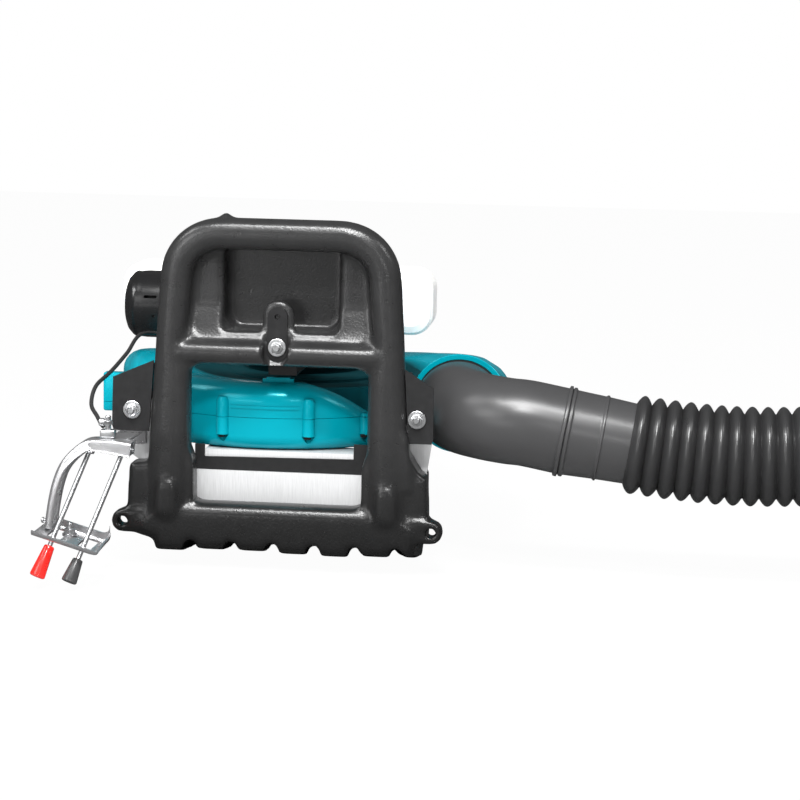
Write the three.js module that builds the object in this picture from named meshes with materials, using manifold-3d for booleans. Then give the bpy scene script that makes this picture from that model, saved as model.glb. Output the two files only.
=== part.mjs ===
// A backpack leaf blower, lying on its back panel with its foot frame upright and facing -Y.
// Units are millimetres, +Z is up, X runs to the right and Y runs away from the foot frame.
// Heights are counted from the black frame's own datum, and the finished part is moved so that
// its origin lies on the face it rests on, under the fan's axis.
import * as THREE from "three";
import { mergeVertices } from "three/addons/utils/BufferGeometryUtils.js";
import Module from "manifold-3d";

const wasm = await Module();
wasm.setup();

// ---------------------------------------------------------------- driving dimensions
const clearance = 0.3; // gap between pieces that touch on the real machine
const runningGap = 0.5; // gap round a piece that turns

const frameMiddleX = -4; // the frame's own middle
const frameFrontY = -15;
const frameDepth = 40;
const frameTopZ = 385;
const legOuterLow = 147; // half width of the frame at the foot of its legs
const legOuterHigh = 134; // half width where the top corners begin
const archCornerRadius = 66;
const tubeHeight = 35; // the top grip
const openingHalfWidth = 106; // foot of the opening above the cross bar
const openingTopHalfWidth = 99;
const openingCornerRadius = 42;
const openingFootRadius = 13;
const crossBarTopZ = 249;
const crossBarBottomZ = 223;
const windowBottomZ = 68;
const windowHalfWidth = 99;
const windowCornerRadius = 13;
const windowFootRadius = 4; // its sill meets the legs almost square
const mouldedWall = 4;
const roundingSize = 12; // rounding of the blow-moulded edges

const panelLength = 440; // the back panel runs from the frame's face to here
const panelTopZ = 60;
const panelHalfWidth = 158;
const lobeCount = 7;
const lobePitch = 43;
const lobeFootWidth = 29;
const lobeRootWidth = 33;
const lobeDepth = 10;
const panelFrontZ = 17; // underside of the panel's front end
const panelContactY = 145; // where its curve first touches the floor
const floorZ = -6; // the floor it lies on

const recessHalfWidth = 65; // the pocket inside the arch
const recessFrontY = 12;
const recessBackY = 47;
const recessBottomZ = 260;
const rampTopZ = 284; // top of the slope between the cross bar and the recessed wall

const fanX = -9; // fan and crankshaft axis
const fanY = 222;
const fanFloorZ = 122;
const fanSeamZ = 159;
const deckZ = 200; // top of the fan housing under the engine
const deckRadius = 105;
const fanInnerRadius = 140; // where the scroll begins
const scrollStartAngle = -50; // degrees, seen from above, where the scroll's tongue stands
const scrollTurn = 310; // degrees of growing scroll
const scrollStartArea = 1074; // square of the first section's depth
const scrollGrowth = 37; // growth of that square for each degree
const shellWall = 3;
const inletRadius = 80;
const outletX = 187;
const outletZ = 170;
const outletY = 120;
const outletRadius = 56;
const outletBore = 51.5;

const shaftRadius = 7.5;
const impellerRadius = 127;
const impellerBlades = 12;
const bladeHeight = 40;
const bladeThickness = 2.4;

const elbowRadius = 48;
const elbowWall = 3;
const elbowBendRadius = 84;
const beadRadius = 51;
const hoseCrestRadius = 55;
const hoseValleyRadius = 45.5;
const hoseBoreRadius = 41;
const hoseStartX = 388;
const hosePitch = 17;
const hoseRibs = 15;
const cuffReach = 57; // room along X for the cuff behind the last rib
const ringSides = 16;

const engineZ = 244; // height of the cylinder's axis
const crankcaseRadius = 50;
const crankcaseTopZ = 284;
const starterRadius = 70;
const starterTopZ = 317;
const ropeY = fanY - 37; // the starter's rope
const ropeZ = starterTopZ - 17;
const cylinderBaseY = 286;
const cylinderTopY = 366;
const finCount = 6;
const finHalf = 40;
const finThickness = 3.2;
const boreSleeveRadius = 25;

const cleanerY = 325;
const cleanerZ = 251;
const cleanerRadius = 41.5;
const cleanerLeftX = -246;

const plugRoom = 26; // from the cylinder's head to the tank
const tankLeftX = -269;
const tankRightX = 128;
const tankFrontY = cylinderTopY + plugRoom;
const tankBackY = tankFrontY + 76;
const tankMiddleY = (tankFrontY + tankBackY) / 2;
const tankBottomZ = 213;
const tankTopZ = 295;
const tankCorner = 26;

const boltZ = 169; // the two side mounts
const leftBoltX = -168;
const rightBoltX = 150.5;
const centreBoltX = -7;
const centreBoltZ = 243;
const plateThickness = 3;
const plateFrontY = -3;
const damperRadius = 10;
const damperLength = 26;
const boltRadius = 4;
const washerRadius = 10;
const washerThickness = 1.6;
const boltHeadRadius = 6.5;
const boltHeadHeight = 5;

const sheet = 2.5; // cradle sheet
const pivotY = -88; // the hand levers' pivot
const pivotZ = 138;
const pivotPinRadius = 2.5;
const leverRadius = 2.6;
const leverHubRadius = 6;
const leverHubWidth = 8;
const redLeverX = -195;
const blackLeverX = -158.5;
const armWidth = 24;
const armThickness = 3;

// ---------------------------------------------------------------- helpers
const RAD = Math.PI / 180;
const v3 = (x, y, z) => new THREE.Vector3(x, y, z);

function signedVolume(position, index) {
  let total = 0;
  const a = v3();
  const b = v3();
  const c = v3();
  for (let i = 0; i < index.length; i += 3) {
    a.fromArray(position, index[i] * 3);
    b.fromArray(position, index[i + 1] * 3);
    c.fromArray(position, index[i + 2] * 3);
    total += a.dot(b.cross(c));
  }
  return total;
}

// A closed three.js geometry as a solid, with its faces turned outwards.
function solid(geometry) {
  const bare = geometry.index ? geometry.toNonIndexed() : geometry.clone();
  bare.deleteAttribute("normal");
  bare.deleteAttribute("uv");
  const merged = mergeVertices(bare, 1e-4);
  const vertProperties = merged.attributes.position.array;
  const triVerts = new Uint32Array(merged.index.array);
  if (signedVolume(vertProperties, triVerts) < 0) {
    for (let i = 0; i < triVerts.length; i += 3) {
      [triVerts[i + 1], triVerts[i + 2]] = [triVerts[i + 2], triVerts[i + 1]];
    }
  }
  return new wasm.Manifold(new wasm.Mesh({ numProp: 3, vertProperties, triVerts }));
}

function geometryOf(body) {
  const m = body.getMesh();
  const positions = new Float32Array(m.numVert * 3);
  for (let i = 0; i < m.numVert; i++) {
    positions.set(m.vertProperties.subarray(i * m.numProp, i * m.numProp + 3), i * 3);
  }
  const geometry = new THREE.BufferGeometry();
  geometry.setAttribute("position", new THREE.BufferAttribute(positions, 3));
  geometry.setIndex(new THREE.BufferAttribute(new Uint32Array(m.triVerts), 1));
  return geometry;
}

const union = (...bodies) => bodies.reduce((a, b) => a.add(b));
const cut = (body, ...tools) => tools.reduce((a, b) => a.subtract(b), body);

function box(x0, x1, y0, y1, z0, z1) {
  const g = new THREE.BoxGeometry(x1 - x0, y1 - y0, z1 - z0);
  g.translate((x0 + x1) / 2, (y0 + y1) / 2, (z0 + z1) / 2);
  return solid(g);
}

// A round bar or cone from point a to point b.
function bar(a, b, radiusA, radiusB = radiusA, sides = 20) {
  const along = b.clone().sub(a);
  const g = new THREE.CylinderGeometry(radiusB, radiusA, along.length(), sides);
  const turn = new THREE.Quaternion().setFromUnitVectors(v3(0, 1, 0), along.normalize());
  g.applyQuaternion(turn);
  const middle = a.clone().add(b).multiplyScalar(0.5);
  g.translate(middle.x, middle.y, middle.z);
  return solid(g);
}

const barX = (x0, x1, y, z, r, sides) => bar(v3(x0, y, z), v3(x1, y, z), r, r, sides);
const barY = (x, y0, y1, z, r, sides) => bar(v3(x, y0, z), v3(x, y1, z), r, r, sides);
const barZ = (x, y, z0, z1, r, sides) => bar(v3(x, y, z0), v3(x, y, z1), r, r, sides);

// An outline drawn in X and Z, made thick from y0 to y1, with rounded edges where round is given.
function wallXZ(shape, y0, y1, round = 0, segments = 6) {
  const g = new THREE.ExtrudeGeometry(shape, {
    depth: y1 - y0 - 2 * round,
    bevelEnabled: round > 0,
    bevelThickness: round,
    bevelSize: round,
    bevelOffset: -round,
    bevelSegments: 2,
    curveSegments: segments,
  });
  g.translate(0, 0, round);
  g.rotateX(Math.PI / 2);
  g.translate(0, y1, 0);
  return solid(g);
}

// An outline drawn in X and Y, made thick from z0 to z1.
function slabXY(shape, z0, z1, round = 0, segments = 6) {
  const g = new THREE.ExtrudeGeometry(shape, {
    depth: z1 - z0 - 2 * round,
    bevelEnabled: round > 0,
    bevelThickness: round,
    bevelSize: round,
    bevelOffset: -round,
    bevelSegments: 2,
    curveSegments: segments,
  });
  g.translate(0, 0, z0 + round);
  return solid(g);
}

// A profile of radius and height turned about a vertical axis.
function turned(profile, x, y, sides = 32) {
  const g = new THREE.LatheGeometry(
    profile.map(([r, z]) => new THREE.Vector2(r, z)),
    sides,
  );
  g.rotateX(Math.PI / 2);
  g.translate(x, y, 0);
  return solid(g);
}

function roundedRect(x0, x1, y0, y1, r, shape = new THREE.Shape()) {
  shape.moveTo(x0 + r, y0);
  shape.lineTo(x1 - r, y0);
  shape.absarc(x1 - r, y0 + r, r, -Math.PI / 2, 0, false);
  shape.lineTo(x1, y1 - r);
  shape.absarc(x1 - r, y1 - r, r, 0, Math.PI / 2, false);
  shape.lineTo(x0 + r, y1);
  shape.absarc(x0 + r, y1 - r, r, Math.PI / 2, Math.PI, false);
  shape.lineTo(x0, y0 + r);
  shape.absarc(x0 + r, y0 + r, r, Math.PI, Math.PI * 1.5, false);
  return shape;
}

function polygon(points) {
  return new THREE.Shape(points.map(([x, y]) => new THREE.Vector2(x, y)));
}

// A skin through rings of equal point counts, closed at both ends with the outline's own triangles.
function loft(rings, outline) {
  const count = rings[0].length;
  const positions = rings.flat().flatMap((p) => [p.x, p.y, p.z]);
  const index = [];
  for (let k = 0; k + 1 < rings.length; k++) {
    for (let i = 0; i < count; i++) {
      const j = (i + 1) % count;
      const a = k * count + i;
      const b = k * count + j;
      index.push(a, b, b + count, a, b + count, a + count);
    }
  }
  const flat = outline.map(([x, y]) => new THREE.Vector2(x, y));
  const last = (rings.length - 1) * count;
  for (const [a, b, c] of THREE.ShapeUtils.triangulateShape(flat, [])) {
    index.push(a, c, b, last + a, last + b, last + c);
  }
  const g = new THREE.BufferGeometry();
  g.setAttribute("position", new THREE.Float32BufferAttribute(positions, 3));
  g.setIndex(index);
  return solid(g);
}

// A section carried along a list of points, with its second axis kept as near to "up" as it can be.
function sweep(outline, points, up) {
  const rings = points.map((p, i) => {
    const ahead = points[Math.min(i + 1, points.length - 1)];
    const behind = points[Math.max(i - 1, 0)];
    const along = ahead.clone().sub(behind).normalize();
    const side = along.clone().cross(up).normalize();
    const top = side.clone().cross(along);
    return outline.map(([u, v]) => p.clone().addScaledVector(side, u).addScaledVector(top, v));
  });
  return loft(rings, outline);
}

const circle = (radius, sides) =>
  Array.from({ length: sides }, (_, i) => [
    radius * Math.cos((2 * Math.PI * i) / sides),
    radius * Math.sin((2 * Math.PI * i) / sides),
  ]);

const curvePoints = (points, steps) =>
  new THREE.CatmullRomCurve3(points, false, "centripetal").getPoints(steps);

// ---------------------------------------------------------------- finishes
const finish = (color, roughness, metalness = 0) =>
  new THREE.MeshStandardMaterial({ color, roughness, metalness });
const blackPlastic = finish(0x2b2b2c, 0.55);
const greyPlastic = finish(0x3f4042, 0.4);
const tealPlastic = finish(0x00a0b4, 0.35);
const whitePlastic = finish(0xf2f3f0, 0.4);
const redPlastic = finish(0xe5201c, 0.35);
const rubber = finish(0x1b1b1b, 0.8);
const steel = finish(0xc9ccce, 0.3, 1);
const castMetal = finish(0xb4b6b8, 0.5, 1);

const blower = new THREE.Group();
function add(name, body, material) {
  const piece = new THREE.Mesh(geometryOf(body.translate([0, -fanY, -floorZ])), material);
  piece.name = name;
  blower.add(piece);
  return body;
}

// ---------------------------------------------------------------- moulded frame
const archTopInnerZ = frameTopZ - tubeHeight;
const frameBackY = frameFrontY + frameDepth;
const archSpringZ = frameTopZ - archCornerRadius;
const legStraightZ = 110; // the legs lean inwards above this
function legHalf(z) {
  const lean = Math.min(1, Math.max(0, (z - legStraightZ) / (archSpringZ - legStraightZ)));
  return legOuterLow + (legOuterHigh - legOuterLow) * lean;
}

// A hole through the frame: tight corners at its foot, and wider ones at its top.
function holePath(low, high, footZ, topZ, footRadius, cornerRadius) {
  const height = topZ - footZ;
  const foot = Math.min(footRadius, height * 0.2);
  const corner = Math.min(cornerRadius, height * 0.6);
  const kappa = 0.56 * corner;
  const path = new THREE.Path();
  path.moveTo(-low + foot, footZ);
  path.lineTo(low - foot, footZ);
  path.quadraticCurveTo(low, footZ, low, footZ + foot);
  path.lineTo(high, topZ - corner);
  path.bezierCurveTo(high, topZ - corner + kappa, high - corner + kappa, topZ,
    high - corner, topZ);
  path.lineTo(corner - high, topZ);
  path.bezierCurveTo(corner - high - kappa, topZ, -high, topZ - corner + kappa,
    -high, topZ - corner);
  path.lineTo(-low, footZ + foot);
  path.quadraticCurveTo(-low, footZ, -low + foot, footZ);
  return path;
}

function archOutline() {
  const s = new THREE.Shape();
  const kappa = 0.56 * archCornerRadius;
  s.moveTo(-legOuterLow, 30);
  s.lineTo(legOuterLow, 30);
  s.lineTo(legOuterLow, legStraightZ);
  s.lineTo(legOuterHigh, archSpringZ);
  const inner = legOuterHigh - archCornerRadius;
  s.bezierCurveTo(
    legOuterHigh, archSpringZ + kappa,
    inner + kappa, frameTopZ,
    inner, frameTopZ,
  );
  s.lineTo(-inner, frameTopZ);
  s.bezierCurveTo(
    -inner - kappa, frameTopZ,
    -legOuterHigh, archSpringZ + kappa,
    -legOuterHigh, archSpringZ,
  );
  s.lineTo(-legOuterLow, legStraightZ);
  s.holes.push(
    holePath(windowHalfWidth, windowHalfWidth, windowBottomZ, crossBarBottomZ,
      windowFootRadius, windowCornerRadius),
    holePath(openingHalfWidth, openingTopHalfWidth, crossBarTopZ, archTopInnerZ,
      openingFootRadius, openingCornerRadius),
  );
  return s;
}

// One ring of the back panel's section, with its lengthwise lobes below.
function panelRing(y, footZ, topZ, halfWidth) {
  const ring = [];
  const spread = halfWidth / panelHalfWidth;
  for (let i = 0; i < lobeCount; i++) {
    const middle = (i - (lobeCount - 1) / 2) * lobePitch * spread;
    const root = (lobeRootWidth / 2) * spread;
    const foot = (lobeFootWidth / 2) * spread;
    ring.push(v3(middle - root, y, footZ + lobeDepth), v3(middle - foot, y, footZ));
    ring.push(v3(middle + foot, y, footZ), v3(middle + root, y, footZ + lobeDepth));
  }
  ring.push(v3(halfWidth, y, footZ + lobeDepth + 3), v3(halfWidth, y, topZ - 8));
  ring.push(v3(halfWidth - 8, y, topZ), v3(8 - halfWidth, y, topZ));
  ring.push(v3(-halfWidth, y, topZ - 8), v3(-halfWidth, y, footZ + lobeDepth + 3));
  return ring;
}

function makeFrame() {
  const rounding = Math.min(roundingSize, (crossBarTopZ - crossBarBottomZ) * 0.46, tubeHeight * 0.46);
  const arch = wallXZ(archOutline(), frameFrontY, frameBackY, rounding, 5);
  const stations = [
    [frameFrontY, panelFrontZ, panelTopZ, panelHalfWidth],
    [25, 8, panelTopZ, panelHalfWidth],
    [85, -2, panelTopZ, panelHalfWidth - 1],
    [panelContactY, floorZ, panelTopZ - 2, panelHalfWidth - 8],
    [panelLength - 60, floorZ, panelTopZ - 6, panelHalfWidth - 24],
    [panelLength - 20, floorZ + 2, panelTopZ - 9, panelHalfWidth - 38],
    [panelLength, floorZ + 8, panelTopZ - 14, panelHalfWidth - 56],
  ];
  const rings = stations.map((s) => panelRing(...s));
  const panel = loft(rings, rings[0].map((p) => [p.x, p.z]));
  // the floor of the arch opening: a wall with a pocket that dips back towards the engine
  const wall = box(-openingHalfWidth - 6, openingHalfWidth + 6, recessFrontY,
    recessFrontY + mouldedWall, crossBarTopZ - 8, archTopInnerZ + 8);
  const pocket = wallXZ(
    roundedRect(-recessHalfWidth - mouldedWall, recessHalfWidth + mouldedWall,
      recessBottomZ - mouldedWall, archTopInnerZ + 10, 14),
    recessFrontY, recessBackY, 0, 4,
  );
  const pocketRoom = wallXZ(
    roundedRect(-recessHalfWidth, recessHalfWidth, recessBottomZ, archTopInnerZ + 6, 11),
    frameFrontY, recessBackY - mouldedWall, 0, 4,
  );
  // the slope that rises from the cross bar to the wall
  const rampFrontY = frameFrontY + rounding;
  const rampRing = (x) => [
    v3(x, rampFrontY, crossBarTopZ - 4), v3(x, recessFrontY + 1, crossBarTopZ - 4),
    v3(x, recessFrontY + 1, rampTopZ), v3(x, recessFrontY - 2, rampTopZ),
  ];
  const ramp = loft([rampRing(-openingHalfWidth), rampRing(openingHalfWidth)],
    [[0, 0], [1, 0], [1, 1], [0.8, 1]]);
  const recess = cut(union(wall, pocket, ramp), pocketRoom);
  // shoulders beside the legs and ears at the panel's corners
  const shoulders = [-1, 1].map((side) =>
    wallXZ(
      polygon([
        [side * (legOuterLow - 12), 34],
        [side * 169, 34],
        [side * 167, 102],
        [side * (legOuterLow + 8), 105],
        [side * (legOuterLow - 12), 140],
      ]),
      frameFrontY + 6, frameBackY, 0,
    ),
  );
  const ears = [-1, 1].map((side) => {
    const earX = side * 173;
    const ear = union(
      barY(earX, frameFrontY + 2, frameFrontY + 24, 44, 13, 16),
      box(Math.min(earX, side * 150), Math.max(earX, side * 150),
        frameFrontY + 2, frameFrontY + 24, 31, 57),
    );
    return cut(ear, barY(earX, frameFrontY, frameFrontY + 26, 44, 5.5, 12));
  });
  const pads = [-1, 1].map((side) =>
    wallXZ(roundedRect(side * 123 - 11, side * 123 + 11, 52, 90, 10),
      frameFrontY - 3, frameFrontY + 4, 0, 3),
  );
  const slotX = centreBoltX - frameMiddleX;
  const slot = box(slotX - 15, slotX + 15, frameFrontY - 1, 6,
    crossBarBottomZ - 2, crossBarTopZ + 40);
  const slotBack = box(slotX - 19, slotX + 19, 6, recessFrontY + mouldedWall,
    crossBarBottomZ + 2, 292);
  const bolt = barY(slotX, 0, frameBackY + 1, centreBoltZ, boltRadius + clearance, 16);
  const whole = union(arch, recess, panel, ...shoulders, ...ears, ...pads);
  return cut(union(cut(whole, slot), slotBack), bolt).translate([frameMiddleX, 0, 0]);
}
const frame = add("frame", makeFrame(), blackPlastic);

// ---------------------------------------------------------------- fan housing
const scrollDepth = (phi) => Math.sqrt(scrollStartArea + scrollGrowth * phi);
const scrollRadius = (phi) => fanInnerRadius + scrollDepth(phi);
const scrollAngle = (phi) => (scrollStartAngle - phi) * RAD;
function scrollTop(phi) {
  const ramp = 34;
  const full = deckZ - 3;
  if (phi < ramp) return full - 44 * Math.pow(1 - phi / ramp, 1.6);
  const shoulder = 9 * Math.exp(-Math.pow((phi - 130) / 40, 2));
  const t = Math.min(1, Math.max(0, (phi - 268) / (scrollTurn - 268)));
  return full + shoulder + 24 * t * t * (3 - 2 * t);
}

function scrollPoint(phi, r, z) {
  const a = scrollAngle(phi);
  return v3(fanX + r * Math.cos(a), fanY + r * Math.sin(a), z);
}

// The scroll's section: flat inside, rounded at the rim.
function scrollSection(phi, inset) {
  const r0 = deckRadius - 12;
  const r1 = scrollRadius(phi) - inset;
  const z0 = fanFloorZ + inset;
  const z1 = scrollTop(phi) - inset;
  const round = Math.min(20, (z1 - z0) * 0.42) - inset * 0.5;
  const section = [[r0, z0], [r1 - round, z0]];
  for (const a of [-45, 0]) {
    section.push([r1 - round + round * Math.cos(a * RAD), z0 + round + round * Math.sin(a * RAD)]);
  }
  for (const a of [0, 45]) {
    section.push([r1 - round + round * Math.cos(a * RAD), z1 - round + round * Math.sin(a * RAD)]);
  }
  section.push([r1 - round, z1], [r0, z1]);
  return section;
}

function scrollBody(inset) {
  const steps = 24;
  const rings = [];
  for (let i = 0; i <= steps; i++) {
    const phi = scrollTurn * (i < 5 ? (i / 5) * 0.11 : 0.11 + 0.89 * ((i - 5) / (steps - 5)));
    rings.push(scrollSection(phi, inset).map(([r, z]) => scrollPoint(phi, r, z)));
  }
  return loft(rings, scrollSection(scrollTurn, inset));
}

const bossAngles = [9, 30, 59, 112, 160, 205, 250];
const bossRadius = 6;
const bossFootZ = 140;
const screwShankRadius = 2.4;
const bossPlace = (phi) => scrollPoint(phi, scrollRadius(phi) + 1.5, 0);
const bossTop = (phi) => Math.min(scrollTop(phi) - 4, 182);

function makeHousing() {
  const outer = union(
    scrollBody(0),
    barZ(fanX, fanY, fanFloorZ, deckZ - 12, fanInnerRadius + 3, 36),
    barZ(fanX, fanY, fanFloorZ, deckZ, deckRadius, 32),
    barY(outletX, outletY, fanY, outletZ, outletRadius, 28),
    barY(outletX, outletY, outletY + 9, outletZ, outletRadius + 3, 28),
    box(-228, -185, 112, 128, 148, 193),
    ...bossAngles.map((phi) => {
      const p = bossPlace(phi);
      return union(
        barZ(p.x, p.y, bossFootZ, bossTop(phi), bossRadius, 8),
        bar(v3(p.x, p.y, fanFloorZ + 4), v3(p.x, p.y, bossFootZ), 1.5, bossRadius, 8),
      );
    }),
    ...[-100, 70].map((x) =>
      barZ(x, tankMiddleY - 6, deckZ - 4, tankBottomZ - clearance, 8, 10)),
  );
  const inner = union(
    scrollBody(shellWall),
    barZ(fanX, fanY, fanFloorZ + shellWall, deckZ - 12 - shellWall, fanInnerRadius - 0.5, 36),
    barY(outletX, outletY - 1, fanY, outletZ, outletBore, 28),
  );
  const inlet = barZ(fanX, fanY, fanFloorZ - 1, fanFloorZ + shellWall + 1, inletRadius, 28);
  const shaftHole = barZ(fanX, fanY, deckZ - 20, deckZ + 1, 17, 20);
  const screwHoles = bossAngles.map((phi) => {
    const p = bossPlace(phi);
    return union(
      barZ(p.x, p.y, bossFootZ, bossTop(phi) - 5, screwShankRadius + clearance, 8),
      barZ(p.x, p.y, fanFloorZ, bossFootZ + 0.01, 5.2, 8),
    );
  });
  return cut(outer, inner, inlet, shaftHole, ...screwHoles);
}
const housing = makeHousing();
const everything = 1000;
const below = box(-everything, everything, -everything, everything, -everything, fanSeamZ - 0.15);
const above = box(-everything, everything, -everything, everything, fanSeamZ + 0.15, everything);
const pieces = (body) => body.decompose().sort((a, b) => b.volume() - a.volume());
add("fan_housing_lower", pieces(housing.intersect(below))[0], tealPlastic);
add("fan_housing_upper", pieces(housing.intersect(above))[0], tealPlastic);

bossAngles.slice(0, 5).forEach((phi, i) => {
  const p = bossPlace(phi);
  const screw = union(
    barZ(p.x, p.y, bossFootZ - 4, bossFootZ - clearance, 4.2, 8),
    barZ(p.x, p.y, bossFootZ - 1, bossTop(phi) - 6, screwShankRadius, 8),
  );
  add("housing_screw_" + (i + 1), screw, steel);
});

// the guard under the fan's inlet: rings tied by spokes
function makeGuard() {
  const top = fanFloorZ - clearance;
  const bottom = top - 5;
  const rings = [28, 50, 72, 92].map((r) =>
    cut(barZ(fanX, fanY, bottom, top, r, 14), barZ(fanX, fanY, bottom - 1, top + 1, r - 4, 14)));
  const spokes = [0, 1, 2].map((i) => {
    const a = (i * 60 + 15) * RAD;
    const g = new THREE.BoxGeometry(180, 4, 5);
    g.rotateZ(a);
    g.translate(fanX, fanY, (top + bottom) / 2);
    return solid(g);
  });
  return union(...rings, ...spokes, barZ(fanX, fanY, bottom, top, 12, 12));
}
add("inlet_guard", makeGuard(), blackPlastic);

// ---------------------------------------------------------------- fan, shaft and bearings
const impellerTopZ = deckZ - 12 - shellWall - 4;
const impellerBottomZ = impellerTopZ - bladeHeight - 3;

function makeImpeller() {
  const plate = barZ(fanX, fanY, impellerTopZ - 3, impellerTopZ, impellerRadius, 32);
  const hub = barZ(fanX, fanY, impellerBottomZ + 6, impellerTopZ, 20, 24);
  const shroud = cut(
    barZ(fanX, fanY, impellerBottomZ, impellerBottomZ + 2.4, impellerRadius, 32),
    barZ(fanX, fanY, impellerBottomZ - 1, impellerBottomZ + 4, inletRadius - 2, 24),
  );
  const blades = Array.from({ length: impellerBlades }, (_, i) => {
    const steps = 3;
    const inner = [];
    const outer = [];
    for (let k = 0; k <= steps; k++) {
      const t = k / steps;
      const r = 56 + (impellerRadius - 57) * t;
      const a = (i * 360 / impellerBlades - 38 * t) * RAD;
      const half = bladeThickness / 2 / r;
      inner.push([fanX + r * Math.cos(a - half), fanY + r * Math.sin(a - half)]);
      outer.unshift([fanX + r * Math.cos(a + half), fanY + r * Math.sin(a + half)]);
    }
    return slabXY(polygon([...inner, ...outer]), impellerBottomZ + 1, impellerTopZ - 1);
  });
  const bore = barZ(fanX, fanY, impellerBottomZ - 1, impellerTopZ + 1, shaftRadius + clearance, 16);
  return cut(union(plate, hub, shroud, ...blades), bore);
}
add("impeller", makeImpeller(), blackPlastic);

const bearingHeight = 12;
const bearingOuter = 17;
add("crankshaft", union(
  barZ(fanX, fanY, impellerBottomZ + 2, starterTopZ - 14, shaftRadius, 16),
  barZ(fanX, fanY, impellerBottomZ + 2, impellerBottomZ + 6 - clearance, 12, 6),
), steel);
for (const [name, z0] of [["lower_bearing", deckZ + 2], ["upper_bearing", crankcaseTopZ - 14]]) {
  add(name, cut(
    barZ(fanX, fanY, z0, z0 + bearingHeight, bearingOuter, 20),
    barZ(fanX, fanY, z0 - 1, z0 + bearingHeight + 1, shaftRadius + clearance, 16),
  ), steel);
}

// ---------------------------------------------------------------- engine
const crankcaseFloorZ = deckZ + clearance;
function makeCrankcase() {
  const drum = barZ(fanX, fanY, crankcaseFloorZ, crankcaseTopZ, crankcaseRadius, 24);
  const base = barZ(fanX, fanY, crankcaseFloorZ, crankcaseFloorZ + 6, 72, 20);
  const rim = barZ(fanX, fanY, crankcaseTopZ - 5, crankcaseTopZ, starterRadius, 20);
  const throat = box(fanX - 34, fanX + 34, fanY, cylinderBaseY - clearance, engineZ - 34, engineZ + 34);
  const shaftRoom = barZ(fanX, fanY, deckZ - 1, crankcaseTopZ + 1, shaftRadius + runningGap, 16);
  const seats = [deckZ + 2, crankcaseTopZ - 14].map((z0) =>
    barZ(fanX, fanY, z0 - clearance, z0 + bearingHeight + clearance, bearingOuter + clearance, 20));
  const lowerSeatMouth = barZ(fanX, fanY, deckZ - 1, deckZ + 3, bearingOuter + clearance, 20);
  const upperSeatMouth = barZ(fanX, fanY, crankcaseTopZ - 3, crankcaseTopZ + 1,
    bearingOuter + clearance, 20);
  return cut(union(drum, base, rim, throat), shaftRoom, ...seats, lowerSeatMouth, upperSeatMouth);
}
add("crankcase", makeCrankcase(), castMetal);

function makeCylinder() {
  const sleeve = barY(fanX, cylinderBaseY, cylinderTopY, engineZ, boreSleeveRadius, 24);
  const pitch = (cylinderTopY - cylinderBaseY - 12) / (finCount - 1);
  const fins = Array.from({ length: finCount }, (_, i) => {
    const y = cylinderBaseY + 8 + i * pitch;
    return wallXZ(
      roundedRect(fanX - finHalf, fanX + finHalf, engineZ - finHalf, engineZ + finHalf, 8),
      y, y + finThickness, 0, 1,
    );
  });
  const foot = box(fanX - 34, fanX + 34, cylinderBaseY, cylinderBaseY + 6, engineZ - 34, engineZ + 34);
  const ports = box(fanX - finHalf, fanX + finHalf, 306, 344, engineZ - 14, engineZ + 14);
  const plugHole = barY(fanX, cylinderTopY - 14, cylinderTopY + 5, engineZ, 7 + clearance, 16);
  return cut(union(sleeve, ...fins, foot, ports), plugHole);
}
add("cylinder", makeCylinder(), castMetal);

add("spark_plug", union(
  barY(fanX, cylinderTopY - 12, cylinderTopY + 2, engineZ, 7, 16),
  barY(fanX, cylinderTopY + clearance, cylinderTopY + 9, engineZ, 10, 6),
  barY(fanX, cylinderTopY + 8, cylinderTopY + 16, engineZ, 4.5, 12),
), steel);
add("plug_boot", cut(
  barY(fanX, cylinderTopY + 9 + clearance, cylinderTopY + 22, engineZ, 9, 16),
  barY(fanX, cylinderTopY + 9, cylinderTopY + 16 + clearance, engineZ, 4.5 + clearance, 12),
), rubber);

function makeStarter() {
  const floorZ = crankcaseTopZ + clearance;
  const shell = turned([
    [0, starterTopZ], [starterRadius - 10, starterTopZ], [starterRadius - 3, starterTopZ - 3],
    [starterRadius, starterTopZ - 10], [starterRadius, floorZ], [starterRadius - 4, floorZ],
    [starterRadius - 4, starterTopZ - 10], [starterRadius - 8, starterTopZ - 4],
    [0, starterTopZ - 4],
  ], fanX, fanY, 20);
  const slots = Array.from({ length: 8 }, (_, i) => {
    const g = new THREE.BoxGeometry(26, 6, 12);
    g.translate(44, 0, starterTopZ - 2);
    g.rotateZ(i * 45 * RAD);
    g.translate(fanX, fanY, 0);
    return solid(g);
  });
  const snout = box(fanX + 30, fanX + 84, fanY - 46, fanY - 28, floorZ, starterTopZ - 8);
  const snoutHole = barX(fanX + 20, fanX + 90, ropeY, ropeZ, 3, 10);
  const hollow = barZ(fanX, fanY, floorZ - 1, starterTopZ - 4.5, starterRadius - 4.2, 20);
  return cut(union(shell, snout), hollow, snoutHole, ...slots);
}
add("starter_housing", makeStarter(), blackPlastic);
add("flywheel", cut(
  union(
    barZ(fanX, fanY, crankcaseTopZ + 4, crankcaseTopZ + 12, 54, 28),
    barZ(fanX, fanY, crankcaseTopZ + 4, crankcaseTopZ + 18, 18, 20),
  ),
  barZ(fanX, fanY, crankcaseTopZ, crankcaseTopZ + 20, shaftRadius + clearance, 16),
), castMetal);
const ropeTuck = 5; // how far the rope's end reaches into the handle
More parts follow.
